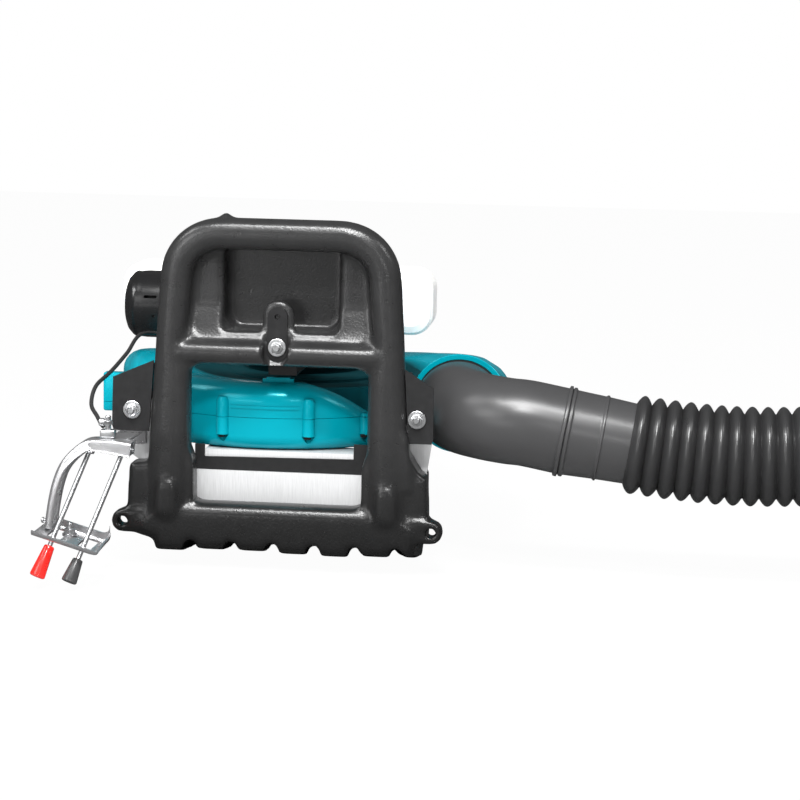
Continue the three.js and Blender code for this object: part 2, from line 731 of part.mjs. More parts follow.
add("starter_handle", cut(
  union(
    bar(v3(fanX + 84 + clearance, ropeY, ropeZ), v3(fanX + 94, ropeY, ropeZ), 5, 7, 14),
    box(fanX + 93, fanX + 103, fanY - 56, fanY - 18, ropeZ - 8, ropeZ + 8),
  ),
  barX(fanX + 80, fanX + 84 + ropeTuck + clearance, ropeY, ropeZ, 1.6 + clearance, 10),
), rubber);
add("starter_rope", barX(fanX - 30, fanX + 84 + ropeTuck, ropeY, ropeZ, 1.6, 10), rubber);

const mufflerX0 = fanX + finHalf + clearance;
add("muffler", union(
  barX(mufflerX0, mufflerX0 + 10, cleanerY, engineZ, 13, 16),
  wallXZ(roundedRect(mufflerX0 + 9, mufflerX0 + 60, engineZ - 36, engineZ + 32, 12),
    cleanerY - 34, cleanerY + 34, 5, 3),
  barZ(mufflerX0 + 40, cleanerY + 10, engineZ + 28, engineZ + 42, 8, 14),
), castMetal);

const insulatorX = fanX - finHalf - clearance;
const carbRightX = insulatorX - 14 - clearance;
const carbLeftX = carbRightX - 40;
const carbMiddleX = (carbLeftX + carbRightX) / 2;
add("intake_insulator", cut(
  box(insulatorX - 14, insulatorX, cleanerY - 18, cleanerY + 18, engineZ - 14, engineZ + 14),
  barX(insulatorX - 15, insulatorX + 1, cleanerY, engineZ, 8, 16),
), rubber);
add("carburettor", cut(
  union(
    box(carbLeftX, carbRightX, cleanerY - 17, cleanerY + 17, engineZ - 17, engineZ + 17),
    barZ(carbMiddleX, cleanerY, engineZ - 26, engineZ + 24, 11, 16),
  ),
  barX(carbLeftX - 1, carbRightX + 1, cleanerY, engineZ, 8, 16),
), castMetal);
const cleanerBaseX = carbLeftX - clearance;
const cleanerSeamX = cleanerLeftX + 52;
add("air_cleaner_base", cut(
  union(
    barX(cleanerBaseX - 9, cleanerBaseX, cleanerY, engineZ, 20, 28),
    bar(v3(cleanerBaseX - 5, cleanerY, engineZ), v3(cleanerSeamX + 8, cleanerY, cleanerZ), 20, 36, 28),
    barX(cleanerSeamX, cleanerSeamX + 9, cleanerY, cleanerZ, cleanerRadius, 28),
  ),
  bar(v3(cleanerBaseX + 3, cleanerY, engineZ), v3(cleanerSeamX - 1, cleanerY, cleanerZ), 11, 26, 24),
), blackPlastic);
function makeCleanerCover() {
  const g = new THREE.LatheGeometry([
    [0, cleanerLeftX], [20, cleanerLeftX + 1], [34, cleanerLeftX + 5], [40, cleanerLeftX + 13],
    [cleanerRadius, cleanerLeftX + 26], [cleanerRadius, cleanerSeamX - clearance],
    [cleanerRadius - 3, cleanerSeamX - clearance], [cleanerRadius - 3, cleanerLeftX + 26],
    [36, cleanerLeftX + 14], [30, cleanerLeftX + 8], [0, cleanerLeftX + 4],
  ].map(([r, x]) => new THREE.Vector2(r, x)), 24);
  g.rotateZ(-Math.PI / 2);
  g.translate(0, cleanerY, cleanerZ);
  return solid(g);
}
add("air_cleaner_cover", makeCleanerCover(), blackPlastic);
add("air_filter", cut(
  barX(cleanerLeftX + 18, cleanerSeamX - clearance, cleanerY, cleanerZ, cleanerRadius - 8, 24),
  barX(cleanerLeftX + 26, cleanerSeamX, cleanerY, cleanerZ, cleanerRadius - 20, 20),
), rubber);

// ---------------------------------------------------------------- fuel tank
function makeTank() {
  const body = wallXZ(
    roundedRect(tankLeftX, tankRightX, tankBottomZ, tankTopZ, tankCorner),
    tankFrontY, tankBackY, 12, 4,
  );
  const neck = barY(-70, tankBackY - 6, tankBackY + 10, 264, 17, 24);
  const mouth = barY(-70, tankBackY - 2, tankBackY + 11, 264, 13, 24);
  return cut(union(body, neck), mouth);
}
add("fuel_tank", makeTank(), whitePlastic);
add("fuel_cap", cut(
  barY(-70, tankBackY + 1, tankBackY + 20, 264, 23, 30),
  barY(-70, tankBackY, tankBackY + 10 + clearance, 264, 17 + clearance, 24),
), blackPlastic);

// ---------------------------------------------------------------- outlet elbow and hose
const hoseY = 36;
const hoseLine = [
  v3(271, hoseY, 168), v3(313, hoseY, 158), v3(351, hoseY, 150.5), v3(396, hoseY, 143.6),
  v3(441, hoseY, 139), v3(486, hoseY, 136.2), v3(531, hoseY, 136.2), v3(576, hoseY, 138),
  v3(630, hoseY, 140.6), v3(hoseStartX + hoseRibs * hosePitch + cuffReach, hoseY, 144),
];
function outletLine() {
  const points = [
    v3(outletX, outletY + 14, outletZ), v3(outletX, outletY + 4, outletZ),
    v3(outletX, outletY - 8, outletZ),
  ];
  for (const a of [15, 30, 45, 60, 75]) {
    points.push(v3(
      outletX + elbowBendRadius * (1 - Math.cos(a * RAD)),
      outletY - 8 - (elbowBendRadius - 8) * Math.sin(a * RAD),
      outletZ - 1.2 * (a / 75),
    ));
  }
  return [...points, ...hoseLine];
}
const outletCurve = new THREE.CatmullRomCurve3(outletLine(), false, "centripetal");
const outletLength = outletCurve.getLength();
const outletPoint = (distance) => outletCurve.getPointAt(distance / outletLength);
const distanceAtX = (x) => {
  let low = 60;
  let high = outletLength;
  for (let i = 0; i < 40; i++) {
    const middle = (low + high) / 2;
    if (outletPoint(middle).x < x) low = middle;
    else high = middle;
  }
  return low;
};
const beadDistance = distanceAtX(313);
const hoseStart = distanceAtX(hoseStartX);
const hoseEnd = hoseStart + hoseRibs * hosePitch;

// A tube with a radius given at each distance along the outlet line.
function tube(profile, sides = ringSides) {
  const rings = profile.map(([distance, radius]) => {
    const p = outletPoint(distance);
    const along = outletCurve.getTangentAt(distance / outletLength);
    const side = along.clone().cross(v3(0, 0, 1)).normalize();
    const top = side.clone().cross(along);
    return circle(radius, sides).map(([u, v]) =>
      p.clone().addScaledVector(side, u).addScaledVector(top, v));
  });
  return loft(rings, circle(1, sides));
}

function steps(from, to, count, radius) {
  return Array.from({ length: count + 1 }, (_, i) => [from + ((to - from) * i) / count, radius]);
}

const elbowEnd = hoseStart - clearance;
function makeElbow() {
  const outer = tube([
    ...steps(1, beadDistance - 6, 12, elbowRadius),
    [beadDistance - 3, beadRadius], [beadDistance + 3, beadRadius],
    [beadDistance + 5, elbowRadius - 1], [beadDistance + 36, elbowRadius - 2],
    [beadDistance + 38, elbowRadius + 1], [beadDistance + 42, elbowRadius + 1],
    [beadDistance + 44, elbowRadius - 2], [elbowEnd, elbowRadius - 3],
  ]);
  const inner = tube([
    ...steps(0, beadDistance, 12, elbowRadius - elbowWall),
    [elbowEnd + 1, elbowRadius - elbowWall - 3],
  ]);
  return cut(outer, inner);
}
const elbow = makeElbow();
add("elbow", elbow, greyPlastic);

// the grey seal ring inside the housing's outlet
add("outlet_seal", cut(
  barY(outletX, outletY + 1, outletY + 12, outletZ, outletBore - clearance, 28),
  barY(outletX, outletY, outletY + 13, outletZ, elbowRadius + 0.8, 28),
), rubber);

// The pleated hose: a rib is two rings of eight points, and the bore has a ring every five ribs.
function makeHose() {
  const sides = 8;
  const outline = circle(1, sides);
  const outer = [[hoseStart, hoseValleyRadius * 1.02]];
  for (let i = 0; i < hoseRibs; i++) {
    outer.push([hoseStart + (i + 0.5) * hosePitch, hoseCrestRadius * 1.03]);
    outer.push([hoseStart + (i + 1) * hosePitch, hoseValleyRadius * 1.02]);
  }
  const bore = [];
  for (let i = 0; i <= hoseRibs; i += 5) {
    bore.push([hoseStart + i * hosePitch, hoseBoreRadius]);
  }
  bore[0][0] -= 1;
  bore[bore.length - 1][0] += 1;
  return cut(tube(outer, outline.length), tube(bore, outline.length));
}
add("hose", makeHose(), greyPlastic);

const cuffStart = hoseEnd + clearance;
add("hose_cuff", cut(
  tube([[cuffStart, 48], [cuffStart + 4, 50], [cuffStart + 10, 50], [cuffStart + 12, 46.5],
    [cuffStart + 40, 46.5], [cuffStart + 42, 49], [cuffStart + 48, 49]]),
  tube([[cuffStart - 1, 41.5], [cuffStart + 49, 41.5]]),
), greyPlastic);

// ---------------------------------------------------------------- mounts
const plateGap = 0.3; // between a mount plate and its leg
function makePlate(side, boltX, outer, foot, top) {
  const near = (z) => side * (legHalf(z) + plateGap);
  const face = wallXZ(polygon([
    [near(foot), foot], [side * (outer - 2), foot], [side * outer, foot + 6],
    [side * (outer - 1), top - 20], [near(top), top],
  ]), plateFrontY, plateBackY);
  const wallX = near(180);
  const flange = box(Math.min(wallX, wallX + side * plateThickness),
    Math.max(wallX, wallX + side * plateThickness), plateBackY - 1, frameBackY - 2, 181, top - 6);
  return cut(union(face, flange).translate([frameMiddleX, 0, 0]),
    barY(boltX, plateFrontY - 1, plateBackY + 1, boltZ, boltRadius + clearance, 16));
}
const plateBackY = plateFrontY + plateThickness;
add("mount_plate_left", makePlate(-1, leftBoltX, 187, 145, 225), blackPlastic);
add("mount_plate_right", makePlate(1, rightBoltX, 173, 142, 224), blackPlastic);

const damperFrontY = plateBackY + clearance;
const damperBackY = damperFrontY + damperLength;
for (const [side, boltX] of [["left", leftBoltX], ["right", rightBoltX]]) {
  add("damper_" + side, cut(
    barY(boltX, damperFrontY, damperBackY, boltZ, damperRadius, 20),
    barY(boltX, damperFrontY - 1, damperBackY + 1, boltZ, boltRadius + clearance, 16),
  ), rubber);
  add("washer_" + side, cut(
    barY(boltX, plateFrontY - clearance - washerThickness, plateFrontY - clearance, boltZ, washerRadius, 20),
    barY(boltX, plateFrontY - 9, plateFrontY, boltZ, boltRadius + clearance, 16),
  ), steel);
  add("mount_bolt_" + side, union(
    barY(boltX, plateFrontY - 2 * clearance - washerThickness - boltHeadHeight,
      plateFrontY - 2 * clearance - washerThickness, boltZ, boltHeadRadius, 6),
    barY(boltX, plateFrontY - 2 * clearance - washerThickness - 1, damperBackY + 8, boltZ, boltRadius, 16),
  ), steel);
}

// the bright sheet-metal cradle behind the frame's window
const cradleY = damperBackY + clearance;
function makeCradle() {
  const outline = polygon([
    [-164, 66], [160, 66], [160, 104], [166, 146], [166, 166], [150, 186], [140, 186],
    [104, 150], [97, 99], [-103, 99], [-110, 150], [-146, 190], [-192, 190], [-192, 126],
    [-164, 106],
  ]);
  const web = wallXZ(outline, cradleY, cradleY + sheet);
  const lip = box(-100, 94, cradleY, cradleY + 16, 66 - sheet, 66 + 0.5);
  const holes = [leftBoltX, rightBoltX].map((x) =>
    barY(x, cradleY - 1, cradleY + sheet + 1, boltZ, boltRadius + clearance, 16));
  return cut(union(web, lip), ...holes);
}
add("cradle", makeCradle(), steel);

// a black bracket behind the cradle, and the bright shelf that carries the fan housing on it
const bracketY = cradleY + sheet + clearance;
const shelfTopZ = fanFloorZ - clearance;
const leftPostZ = fanFloorZ + 5.5; // its two posts rise past the fan's floor
const rightPostZ = fanFloorZ + 11;
add("fan_bracket", wallXZ(polygon([
  [-103, 84], [94, 84], [94, rightPostZ], [77, rightPostZ], [77, 116], [-92, 113.5],
  [-92, leftPostZ], [-103, leftPostZ],
]), bracketY, bracketY + 3), blackPlastic);
const shelfY = bracketY + 3 + clearance;
add("fan_shelf", union(
  box(-92, 77, shelfY, shelfY + sheet, 104, shelfTopZ),
  box(-92, 77, shelfY, shelfY + 42, shelfTopZ - sheet, shelfTopZ),
), steel);

// centre mount: tongue, washer, bolt and rubber behind the cross bar
const tongueBackY = 6 - clearance;
add("centre_tongue", cut(
  wallXZ(roundedRect(centreBoltX - 11, centreBoltX + 11, 227, 288, 10.9),
    tongueBackY - plateThickness, tongueBackY, 0, 5),
  barY(centreBoltX, -5, 10, centreBoltZ, boltRadius + clearance, 16),
  barY(centreBoltX, -5, 10, 277, 3.3, 12),
), blackPlastic);
const tongueFrontY = tongueBackY - plateThickness;
add("washer_centre", cut(
  barY(centreBoltX, tongueFrontY - clearance - washerThickness, tongueFrontY - clearance,
    centreBoltZ, washerRadius, 20),
  barY(centreBoltX, -20, 10, centreBoltZ, boltRadius + clearance, 16),
), steel);
add("mount_bolt_centre", union(
  barY(centreBoltX, tongueFrontY - 2 * clearance - washerThickness - boltHeadHeight,
    tongueFrontY - 2 * clearance - washerThickness, centreBoltZ, boltHeadRadius, 6),
  barY(centreBoltX, tongueFrontY - 2 * clearance - washerThickness - 1, frameBackY + 30,
    centreBoltZ, boltRadius, 16),
), steel);
add("damper_centre", cut(
  barY(centreBoltX, frameBackY + clearance, frameBackY + 20, centreBoltZ, 12, 20),
  barY(centreBoltX, frameBackY, frameBackY + 21, centreBoltZ, boltRadius + clearance, 16),
), rubber);
const strutFrontY = frameBackY + 20 + clearance;
const strutZ = deckZ + 6 + 2 * clearance; // it rests on the crankcase's base
add("centre_strut", cut(
  union(
    box(centreBoltX - 16, centreBoltX + 16, strutFrontY, strutFrontY + sheet, strutZ, centreBoltZ + 12),
    box(centreBoltX - 16, centreBoltX + 16, strutFrontY, fanY - 58, strutZ, strutZ + sheet),
  ),
  barY(centreBoltX, strutFrontY - 1, strutFrontY + 5, centreBoltZ, boltRadius + clearance, 16),
), steel);

// ---------------------------------------------------------------- hand controls
// The arm is a channel, open inwards, that arches from the pivot down to the tray.
const armLine = curvePoints([
  v3(-148, pivotY, pivotZ + 9.6), v3(-165, pivotY, pivotZ + 11.5), v3(-180, pivotY, pivotZ + 12),
  v3(-198, pivotY - 0.5, pivotZ + 10.5), v3(-213, pivotY - 6, pivotZ - 0.5),
  v3(-224, pivotY - 12, pivotZ - 15), v3(-231, pivotY - 16, pivotZ - 34),
  v3(-235, pivotY - 20, pivotZ - 56), v3(-238, pivotY - 24, pivotZ - 84),
], 18);
function makeArm() {
  const half = armWidth / 2;
  const t = armThickness;
  const channel = (depth) => [
    [-half, -depth], [t - half, -depth], [t - half, -t], [half - t, -t],
    [half - t, -depth], [half, -depth], [half, 0], [-half, 0],
  ];
  const rings = armLine.map((p, i) => {
    const ahead = armLine[Math.min(i + 1, armLine.length - 1)];
    const behind = armLine[Math.max(i - 1, 0)];
    const along = ahead.clone().sub(behind).normalize();
    const outward = v3(0, 1, 0).cross(along).normalize();
    const side = along.clone().cross(outward);
    const depth = 16 - 7 * Math.min(1, i / 12);
    return channel(depth).map(([u, v]) =>
      p.clone().addScaledVector(side, u).addScaledVector(outward, v));
  });
  return loft(rings, channel(16));
}
const arm = makeArm();
const lugs = [[-204.6, pivotZ + 3], [-151.8, pivotZ + 8]].map(([x, top]) =>
  box(x - 2, x + 2, pivotY - armWidth / 2 + 1, pivotY + armWidth / 2 - 1, pivotZ - 6, top));
// the bar that carries the arm out from the cradle
const armBar = union(
  box(-182, -158, pivotY + armWidth / 2 - 4, cradleY - clearance, pivotZ + 4, pivotZ + 7),
  box(-182, -158, cradleY - clearance - 3, cradleY - clearance, pivotZ - 12, pivotZ + 7),
);
const pinRoom = barX(-212, -140, pivotY, pivotZ, pivotPinRadius + clearance, 14);
add("control_arm", cut(union(arm, armBar, ...lugs), pinRoom), castMetal);
add("pivot_pin", barX(-208.5, -147.5, pivotY, pivotZ, pivotPinRadius, 14), steel);

// The quadrant tray, tilted with the levers, with a slot for each of them.
const traySlope = 0.29;
const trayZ = (x) => 46 - traySlope * (x + 215);
function makeTray() {
  const x0 = -246;
  const x1 = -172;
  const y0 = -154;
  const y1 = -88;
  const slopeBox = (xa, xb, ya, yb, down, up) => {
    const ring = (y) => [
      v3(xa, y, trayZ(xa) - down), v3(xb, y, trayZ(xb) - down),
      v3(xb, y, trayZ(xb) + up), v3(xa, y, trayZ(xa) + up),
    ];
    return loft([ring(ya), ring(yb)], [[0, 0], [1, 0], [1, 1], [0, 1]]);
  };
  const plate = slopeBox(x0, x1, y0, y1, 2.5, 0);
  const frontFlange = slopeBox(x0, x1, y0, y0 + 2.5, 2.5, 5);
  const backFlange = slopeBox(x0, x1, y1 - 2.5, y1, 2.5, 13);
  const endFlange = slopeBox(x1 - 2.5, x1, y0 + 12, y1, 2.5, 13);
  const slots = [redLeverX, blackLeverX].map((x) => {
    const at = leverX(x, trayZ(x) - 1);
    return slopeBox(at - 5.5, at + 9.5, y0 + 3, y1 - 6, 20, 20);
  });
  return cut(union(plate, frontFlange, backFlange, endFlange), ...slots);
}
// where a lever's rod stands at a height below the pivot
const leverLean = 0.34; // sideways lean of the rods
const leverForward = 0.44; // forward lean of the rods
const leverX = (top, z) => top - leverLean * (pivotZ - z);
const leverY = (z) => pivotY - leverForward * (pivotZ - z);
const leverPoint = (top, z) => v3(leverX(top, z), leverY(z), z);
add("lever_tray", cut(makeTray(), arm), castMetal);

for (const [name, x, knobTop, knobTip, material] of [
  ["stop", redLeverX, 38, 7, redPlastic],
  ["throttle", blackLeverX, 26, 3, blackPlastic],
]) {
  add(name + "_lever", cut(
    union(
      barX(x - leverHubWidth / 2, x + leverHubWidth / 2, pivotY, pivotZ, leverHubRadius, 16),
      bar(leverPoint(x, pivotZ - 3), leverPoint(x, knobTip + 8), leverRadius, leverRadius, 10),
    ),
    barX(x - 10, x + 10, pivotY, pivotZ, pivotPinRadius + clearance, 14),
  ), steel);
  add(name + "_knob", cut(
    bar(leverPoint(x, knobTop), leverPoint(x, knobTip), 5.5, 8.5, 18),
    bar(leverPoint(x, knobTop + 4), leverPoint(x, knobTip + 8 - clearance),
      leverRadius + clearance, leverRadius + clearance, 10),
  ), material);
}

// throttle cable and the post that holds its end on the arm
const postX = -176;
const postY = pivotY + 2;
const postZ = pivotZ + 12 + clearance;
add("cable_post", union(
  barZ(postX, postY, postZ, postZ + 9, 5.5, 6),
  barZ(postX, postY, postZ + 8, postZ + 24, 3, 12),
), steel);
const cableLine = curvePoints([
  v3(carbMiddleX, cleanerY, engineZ - 26.7), v3(carbMiddleX, cleanerY, engineZ - 31),
  v3(-98, cleanerY - 9, 207.5), v3(-134, 292, 209), v3(-180, 240, 216),
  v3(-218, 196, 222), v3(-231, 140, 204), v3(-232, 90, 189), v3(-228, 50, 177),
  v3(-220, 12, 167), v3(-208, -20, 163.5), v3(-193, -55, 164), v3(postX - 5.7, postY, 167),
], 36);
add("throttle_cable", sweep(circle(2.4, 6), cableLine, v3(0.1, 0.2, 1).normalize()), rubber);

export default blower;
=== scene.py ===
# %% [markdown]
# # A backpack leaf blower
# The machine lies on its back panel, with its black foot frame upright and facing the camera.
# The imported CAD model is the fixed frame: its nodes carry every piece made here, and each
# piece below either replaces one of those nodes with a finer shape or gives it a better finish.

# %% Load the frame
import bpy
import bmesh
import math
from mathutils import Matrix, Vector


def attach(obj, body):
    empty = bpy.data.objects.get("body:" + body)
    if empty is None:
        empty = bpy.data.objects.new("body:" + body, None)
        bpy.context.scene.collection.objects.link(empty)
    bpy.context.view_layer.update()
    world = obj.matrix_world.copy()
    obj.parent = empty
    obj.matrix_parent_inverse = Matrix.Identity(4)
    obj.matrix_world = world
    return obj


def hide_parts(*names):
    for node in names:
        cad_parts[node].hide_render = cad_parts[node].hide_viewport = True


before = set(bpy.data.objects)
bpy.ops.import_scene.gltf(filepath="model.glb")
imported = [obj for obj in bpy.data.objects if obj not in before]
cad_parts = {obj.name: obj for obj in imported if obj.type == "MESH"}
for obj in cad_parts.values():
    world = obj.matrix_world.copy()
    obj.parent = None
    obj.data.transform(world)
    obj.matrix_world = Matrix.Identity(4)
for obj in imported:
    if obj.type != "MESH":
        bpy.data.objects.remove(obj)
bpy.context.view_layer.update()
print("CAD nodes:", len(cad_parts))

# %% [markdown]
# Sizes are easiest to read in millimetres from the foot frame's own datum. `at` turns such a
# point into the row's frame in metres, whose origin is under the fan's axis on the floor.

# %% Points
FAN_X, FAN_Y = -9, 222
FLOOR = -6
UP, BACK, FRONT = Vector((0, 0, 1)), Vector((0, 1, 0)), Vector((0, -1, 0))
LEFT, RIGHT = Vector((-1, 0, 0)), Vector((1, 0, 0))


def at(x, y, z):
    return Vector((x, y - FAN_Y, z - FLOOR)) / 1000


def mm(value):
    return value / 1000


def linked(name, data):
    """A new object in the scene."""
    made = bpy.data.objects.new(name, data)
    bpy.context.scene.collection.objects.link(made)
    return made


print("the frame's datum is at", tuple(at(0, 0, 0)))

# %% [markdown]
# The camera comes first. The photograph was taken from a little above and a little to the
# right, with a long lens, and the picture leans about one degree.

# %% Camera
EYE, TARGET = (403.9, -2596.7, 580.2), (131, 0, 190)
LEAN, SENSOR, LENS = math.radians(1.2), 36, 108


def make_camera():
    eye = at(*EYE)
    forward = (at(*TARGET) - eye).normalized()
    level = forward.cross(UP).normalized()
    plumb = level.cross(forward)
    across = level * math.cos(LEAN) + plumb * math.sin(LEAN)
    top = plumb * math.cos(LEAN) - level * math.sin(LEAN)
    data = bpy.data.cameras.new("camera")
    data.sensor_width, data.lens = SENSOR, LENS
    data.clip_end = 20
    camera = linked("camera", data)
    turn = Matrix((across, top, -forward)).transposed()
    camera.matrix_world = Matrix.Translation(eye) @ turn.to_4x4()
    bpy.context.scene.camera = camera
    return camera


print("camera at", tuple(round(v, 3) for v in make_camera().matrix_world.translation))

# %% [markdown]
# A node tree is short to write when one call adds a node, sets what it does and fills its
# sockets. A socket of another node is linked, and any other value is typed in.

# %% Node helpers
def node(tree, kind, inputs=None, **settings):
    """Adds a node and gives back its outputs."""
    made = tree.nodes.new(kind)
    for label, value in settings.items():
        setattr(made, label, value)
    for key, value in (inputs or {}).items():
        if isinstance(value, bpy.types.NodeSocket):
            tree.links.new(value, made.inputs[key])
        else:
            made.inputs[key].default_value = value
    return made.outputs


def cleared(owner):
    """The emptied node tree of a material or a world."""
    owner.use_nodes = True
    owner.node_tree.nodes.clear()
    return owner.node_tree


def mix_shader(tree, factor, first, second):
    return node(tree, "ShaderNodeMixShader", {0: factor, 1: first, 2: second})[0]


def math_node(tree, operation, a, b=0.0):
    return node(tree, "ShaderNodeMath", {0: a, 1: b}, operation=operation)[0]


print("node helpers are ready")

# %% [markdown]
# ## Ground and surroundings
# A studio picture on white. The camera sees floor and world as white. Matt surfaces get a soft
# fill from them, and in glossy reflections both are dark, as black cards beside a shiny
# product are, so the black plastic keeps its depth.

# %% Floor and world
FLOOR_HALF, FLOOR_DROP, SEEN_WHITE = 6, 0.0012, 0.97
FLOOR_GREY, MIRRORED_GREY = 0.82, 0.06
FILL, MIRRORED_FILL = 0.3, 0.1


def matt(tree, grey):
    return node(tree, "ShaderNodeBsdfPrincipled",
                {"Base Color": (grey, grey, grey, 1), "Roughness": 0.9})[0]


def make_floor():
    mesh = bpy.data.meshes.new("floor")
    corners = [(-1, -1, 0), (1, -1, 0), (1, 1, 0), (-1, 1, 0)]
    mesh.from_pydata([Vector(c) * FLOOR_HALF for c in corners], [], [(0, 1, 2, 3)])
    floor = linked("floor", mesh)
    floor.location = (0, 0, -FLOOR_DROP)
    material = bpy.data.materials.new("white_ground")
    tree = cleared(material)
    ray = node(tree, "ShaderNodeLightPath")
    white = node(tree, "ShaderNodeEmission", {"Strength": 1.0})[0]
    ground = mix_shader(tree, ray["Is Glossy Ray"], matt(tree, FLOOR_GREY),
                        matt(tree, MIRRORED_GREY))
    share = math_node(tree, "MULTIPLY", ray["Is Camera Ray"], SEEN_WHITE)
    node(tree, "ShaderNodeOutputMaterial", {0: mix_shader(tree, share, ground, white)})
    mesh.materials.append(material)


def make_world():
    world = bpy.data.worlds.new("studio")
    bpy.context.scene.world = world
    tree = cleared(world)
    ray = node(tree, "ShaderNodeLightPath")
    seen, soft, dark = [node(tree, "ShaderNodeBackground",
                             {"Color": (1, 1, 1, 1), "Strength": strength})[0]
                        for strength in (1.0, FILL, MIRRORED_FILL)]
    around = mix_shader(tree, ray["Is Glossy Ray"], soft, dark)
    node(tree, "ShaderNodeOutputWorld", {0: mix_shader(tree, ray["Is Camera Ray"], around, seen)})


make_floor()
make_world()
bpy.context.scene.view_settings.view_transform = "Standard"
print("floor and world are white to the camera:", bpy.context.scene.world.name)

# %% [markdown]
# ## Lamps
# One long lamp overhead and in front draws the line of light along every tube. Low and side
# lamps open the shadows, and two small ones make the short, sharp glints of the moulding's
# skin and of the elbow.

# %% Lamps
LAMPS = [("overhead", (0.1, -1.5, 2.4), (0.1, -0.1, 0.3), (1.6, 0.35), 90),
         ("low_front", (-1.3, -3.4, 0.35), (-0.1, -0.2, 0.3), (1.5, 0.25), 9),
         ("front_left", (-1.1, -1.7, 1.0), (0, -0.2, 0.15), (0.7, 0.7), 9),
         ("left_top", (-1.5, -0.7, 1.9), (0, -0.1, 0.2), (0.8, 0.8), 17),
         ("right_top", (1.8, -0.5, 1.7), (0.2, -0.1, 0.2), (0.6, 0.6), 9),
         ("glint", (0.16, -1.9, 1.9), (0.3, -0.15, 0.2), (0.2, 0.2), 34),
         ("near_camera", (0.7, -2.6, 0.7), (0.3, 0, 0.2), (0.1, 0.1), 4)]


def lamp(name, place, aim, size, power):
    data = bpy.data.lights.new(name, "AREA")
    data.shape, data.size, data.size_y = "RECTANGLE", size[0], size[1]
    data.energy = power
    light = linked(name, data)
    light.location = place
    light.rotation_euler = (Vector(aim) - Vector(place)).to_track_quat("-Z", "Y").to_euler()


for row in LAMPS:
    lamp(*row)
print("lamps:", [row[0] for row in LAMPS])

# %% [markdown]
# ## Shared effects
# Moulded plastic is never one flat colour: the mould leaves a fine grain, and the skin is a
# little mottled. Sheet and cast metal are scratched along or pitted all over. Each effect is
# a node group with named inputs, built once and used by several finishes. It gives only
# masks, tones, heights and roughness. The shader stays in the finish.

# %% Node group helpers
def make_group(name, inputs, outputs, build):
    """A node group, whose outputs are filled from what build(group, inputs) gives back."""
    group = bpy.data.node_groups.new(name, "ShaderNodeTree")
    for label, value in inputs.items():
        kind = "NodeSocketVector" if isinstance(value, tuple) else "NodeSocketFloat"
        group.interface.new_socket(label, in_out="INPUT", socket_type=kind).default_value = value
    for label in outputs:
        group.interface.new_socket(label, in_out="OUTPUT", socket_type="NodeSocketFloat")
    node(group, "NodeGroupOutput", build(group, node(group, "NodeGroupInput")))
    print("group", name, "gives", outputs)
    return group


def map_range(tree, value, low, high, start=0.0, end=1.0):
    return node(tree, "ShaderNodeMapRange", {"Value": value, "From Min": start, "From Max": end,
                                             "To Min": low, "To Max": high})["Result"]


def noise_node(tree, vector, scale, detail, rough):
    return node(tree, "ShaderNodeTexNoise", {"Vector": vector, "Scale": scale,
                                             "Detail": detail, "Roughness": rough})["Fac"]


def vector_node(tree, operation, a, b=(0, 0, 0)):
    return node(tree, "ShaderNodeVectorMath", {0: a, 1: b}, operation=operation)


print("group helpers are ready")

# %% [markdown]
# A mould is etched with a fine grain, and the plastic cools unevenly against it. So a coarse
# noise gives patches in tone and gloss, and a fine one, laid over it, gives the height.

# %% Mould grain
def mould_grain_nodes(group, given):
    patches = noise_node(group, given["Vector"], given["Patch Scale"], 4, 0.6)
    grain = noise_node(group, given["Vector"], given["Grain Scale"], 2, 0.5)
    low, high = [math_node(group, way, 1.0, given["Patchiness"]) for way in ("SUBTRACT", "ADD")]
    return {"Tone": map_range(group, patches, low, high),
            "Height": math_node(group, "ADD", grain, math_node(group, "MULTIPLY", patches, 0.6)),
            "Gloss Change": map_range(group, patches, -0.5, 0.5)}


mould_grain = make_group(
    "mould_grain", {"Vector": (0, 0, 0), "Patch Scale": 30.0, "Grain Scale": 900.0,
                    "Patchiness": 0.3}, ["Tone", "Height", "Gloss Change"], mould_grain_nodes)

# %% [markdown]
# Rolled and turned metal carries fine lines along the way that it was worked. A noise that is
# stretched across those lines gives them, and slow clouds keep a large sheet from being even.

# %% Brushed metal
def brushed_nodes(group, given):
    stretched = vector_node(group, "MULTIPLY", given["Vector"], given["Stretch"])[0]
    lines = noise_node(group, stretched, 20.0, 5, 0.7)
    clouds = noise_node(group, given["Vector"], 14.0, 3, 0.5)
    low = math_node(group, "SUBTRACT", 1.0, given["Depth"])
    tone = math_node(group, "MULTIPLY", map_range(group, lines, low, 1.0),
                     map_range(group, clouds, 0.9, 1.06))
    return {"Tone": tone, "Height": lines, "Roughness": map_range(group, lines, 0.22, 0.42)}


brushed_lines = make_group(
    "brushed_lines", {"Vector": (0, 0, 0), "Stretch": (1, 60, 60), "Depth": 0.2},
    ["Tone", "Height", "Roughness"], brushed_nodes)

# %% [markdown]
# Corners of a tool that is set down on stone and concrete go pale first. The mesh's own
# pointiness finds them, and a noise breaks the line up, so the wear is never a drawn outline.

# %% Edge wear
def edge_wear_nodes(group, given):
    corner = node(group, "ShaderNodeNewGeometry")["Pointiness"]
    edge = map_range(group, corner, 0.0, 1.0, 0.52, 0.62)
    ragged = noise_node(group, given["Vector"], 120.0, 4, 0.6)
    mask = math_node(group, "MULTIPLY", edge, ragged)
    return {"Mask": math_node(group, "MULTIPLY", mask, given["Amount"])}


edge_wear = make_group("edge_wear", {"Vector": (0, 0, 0), "Amount": 0.4}, ["Mask"],
                       edge_wear_nodes)
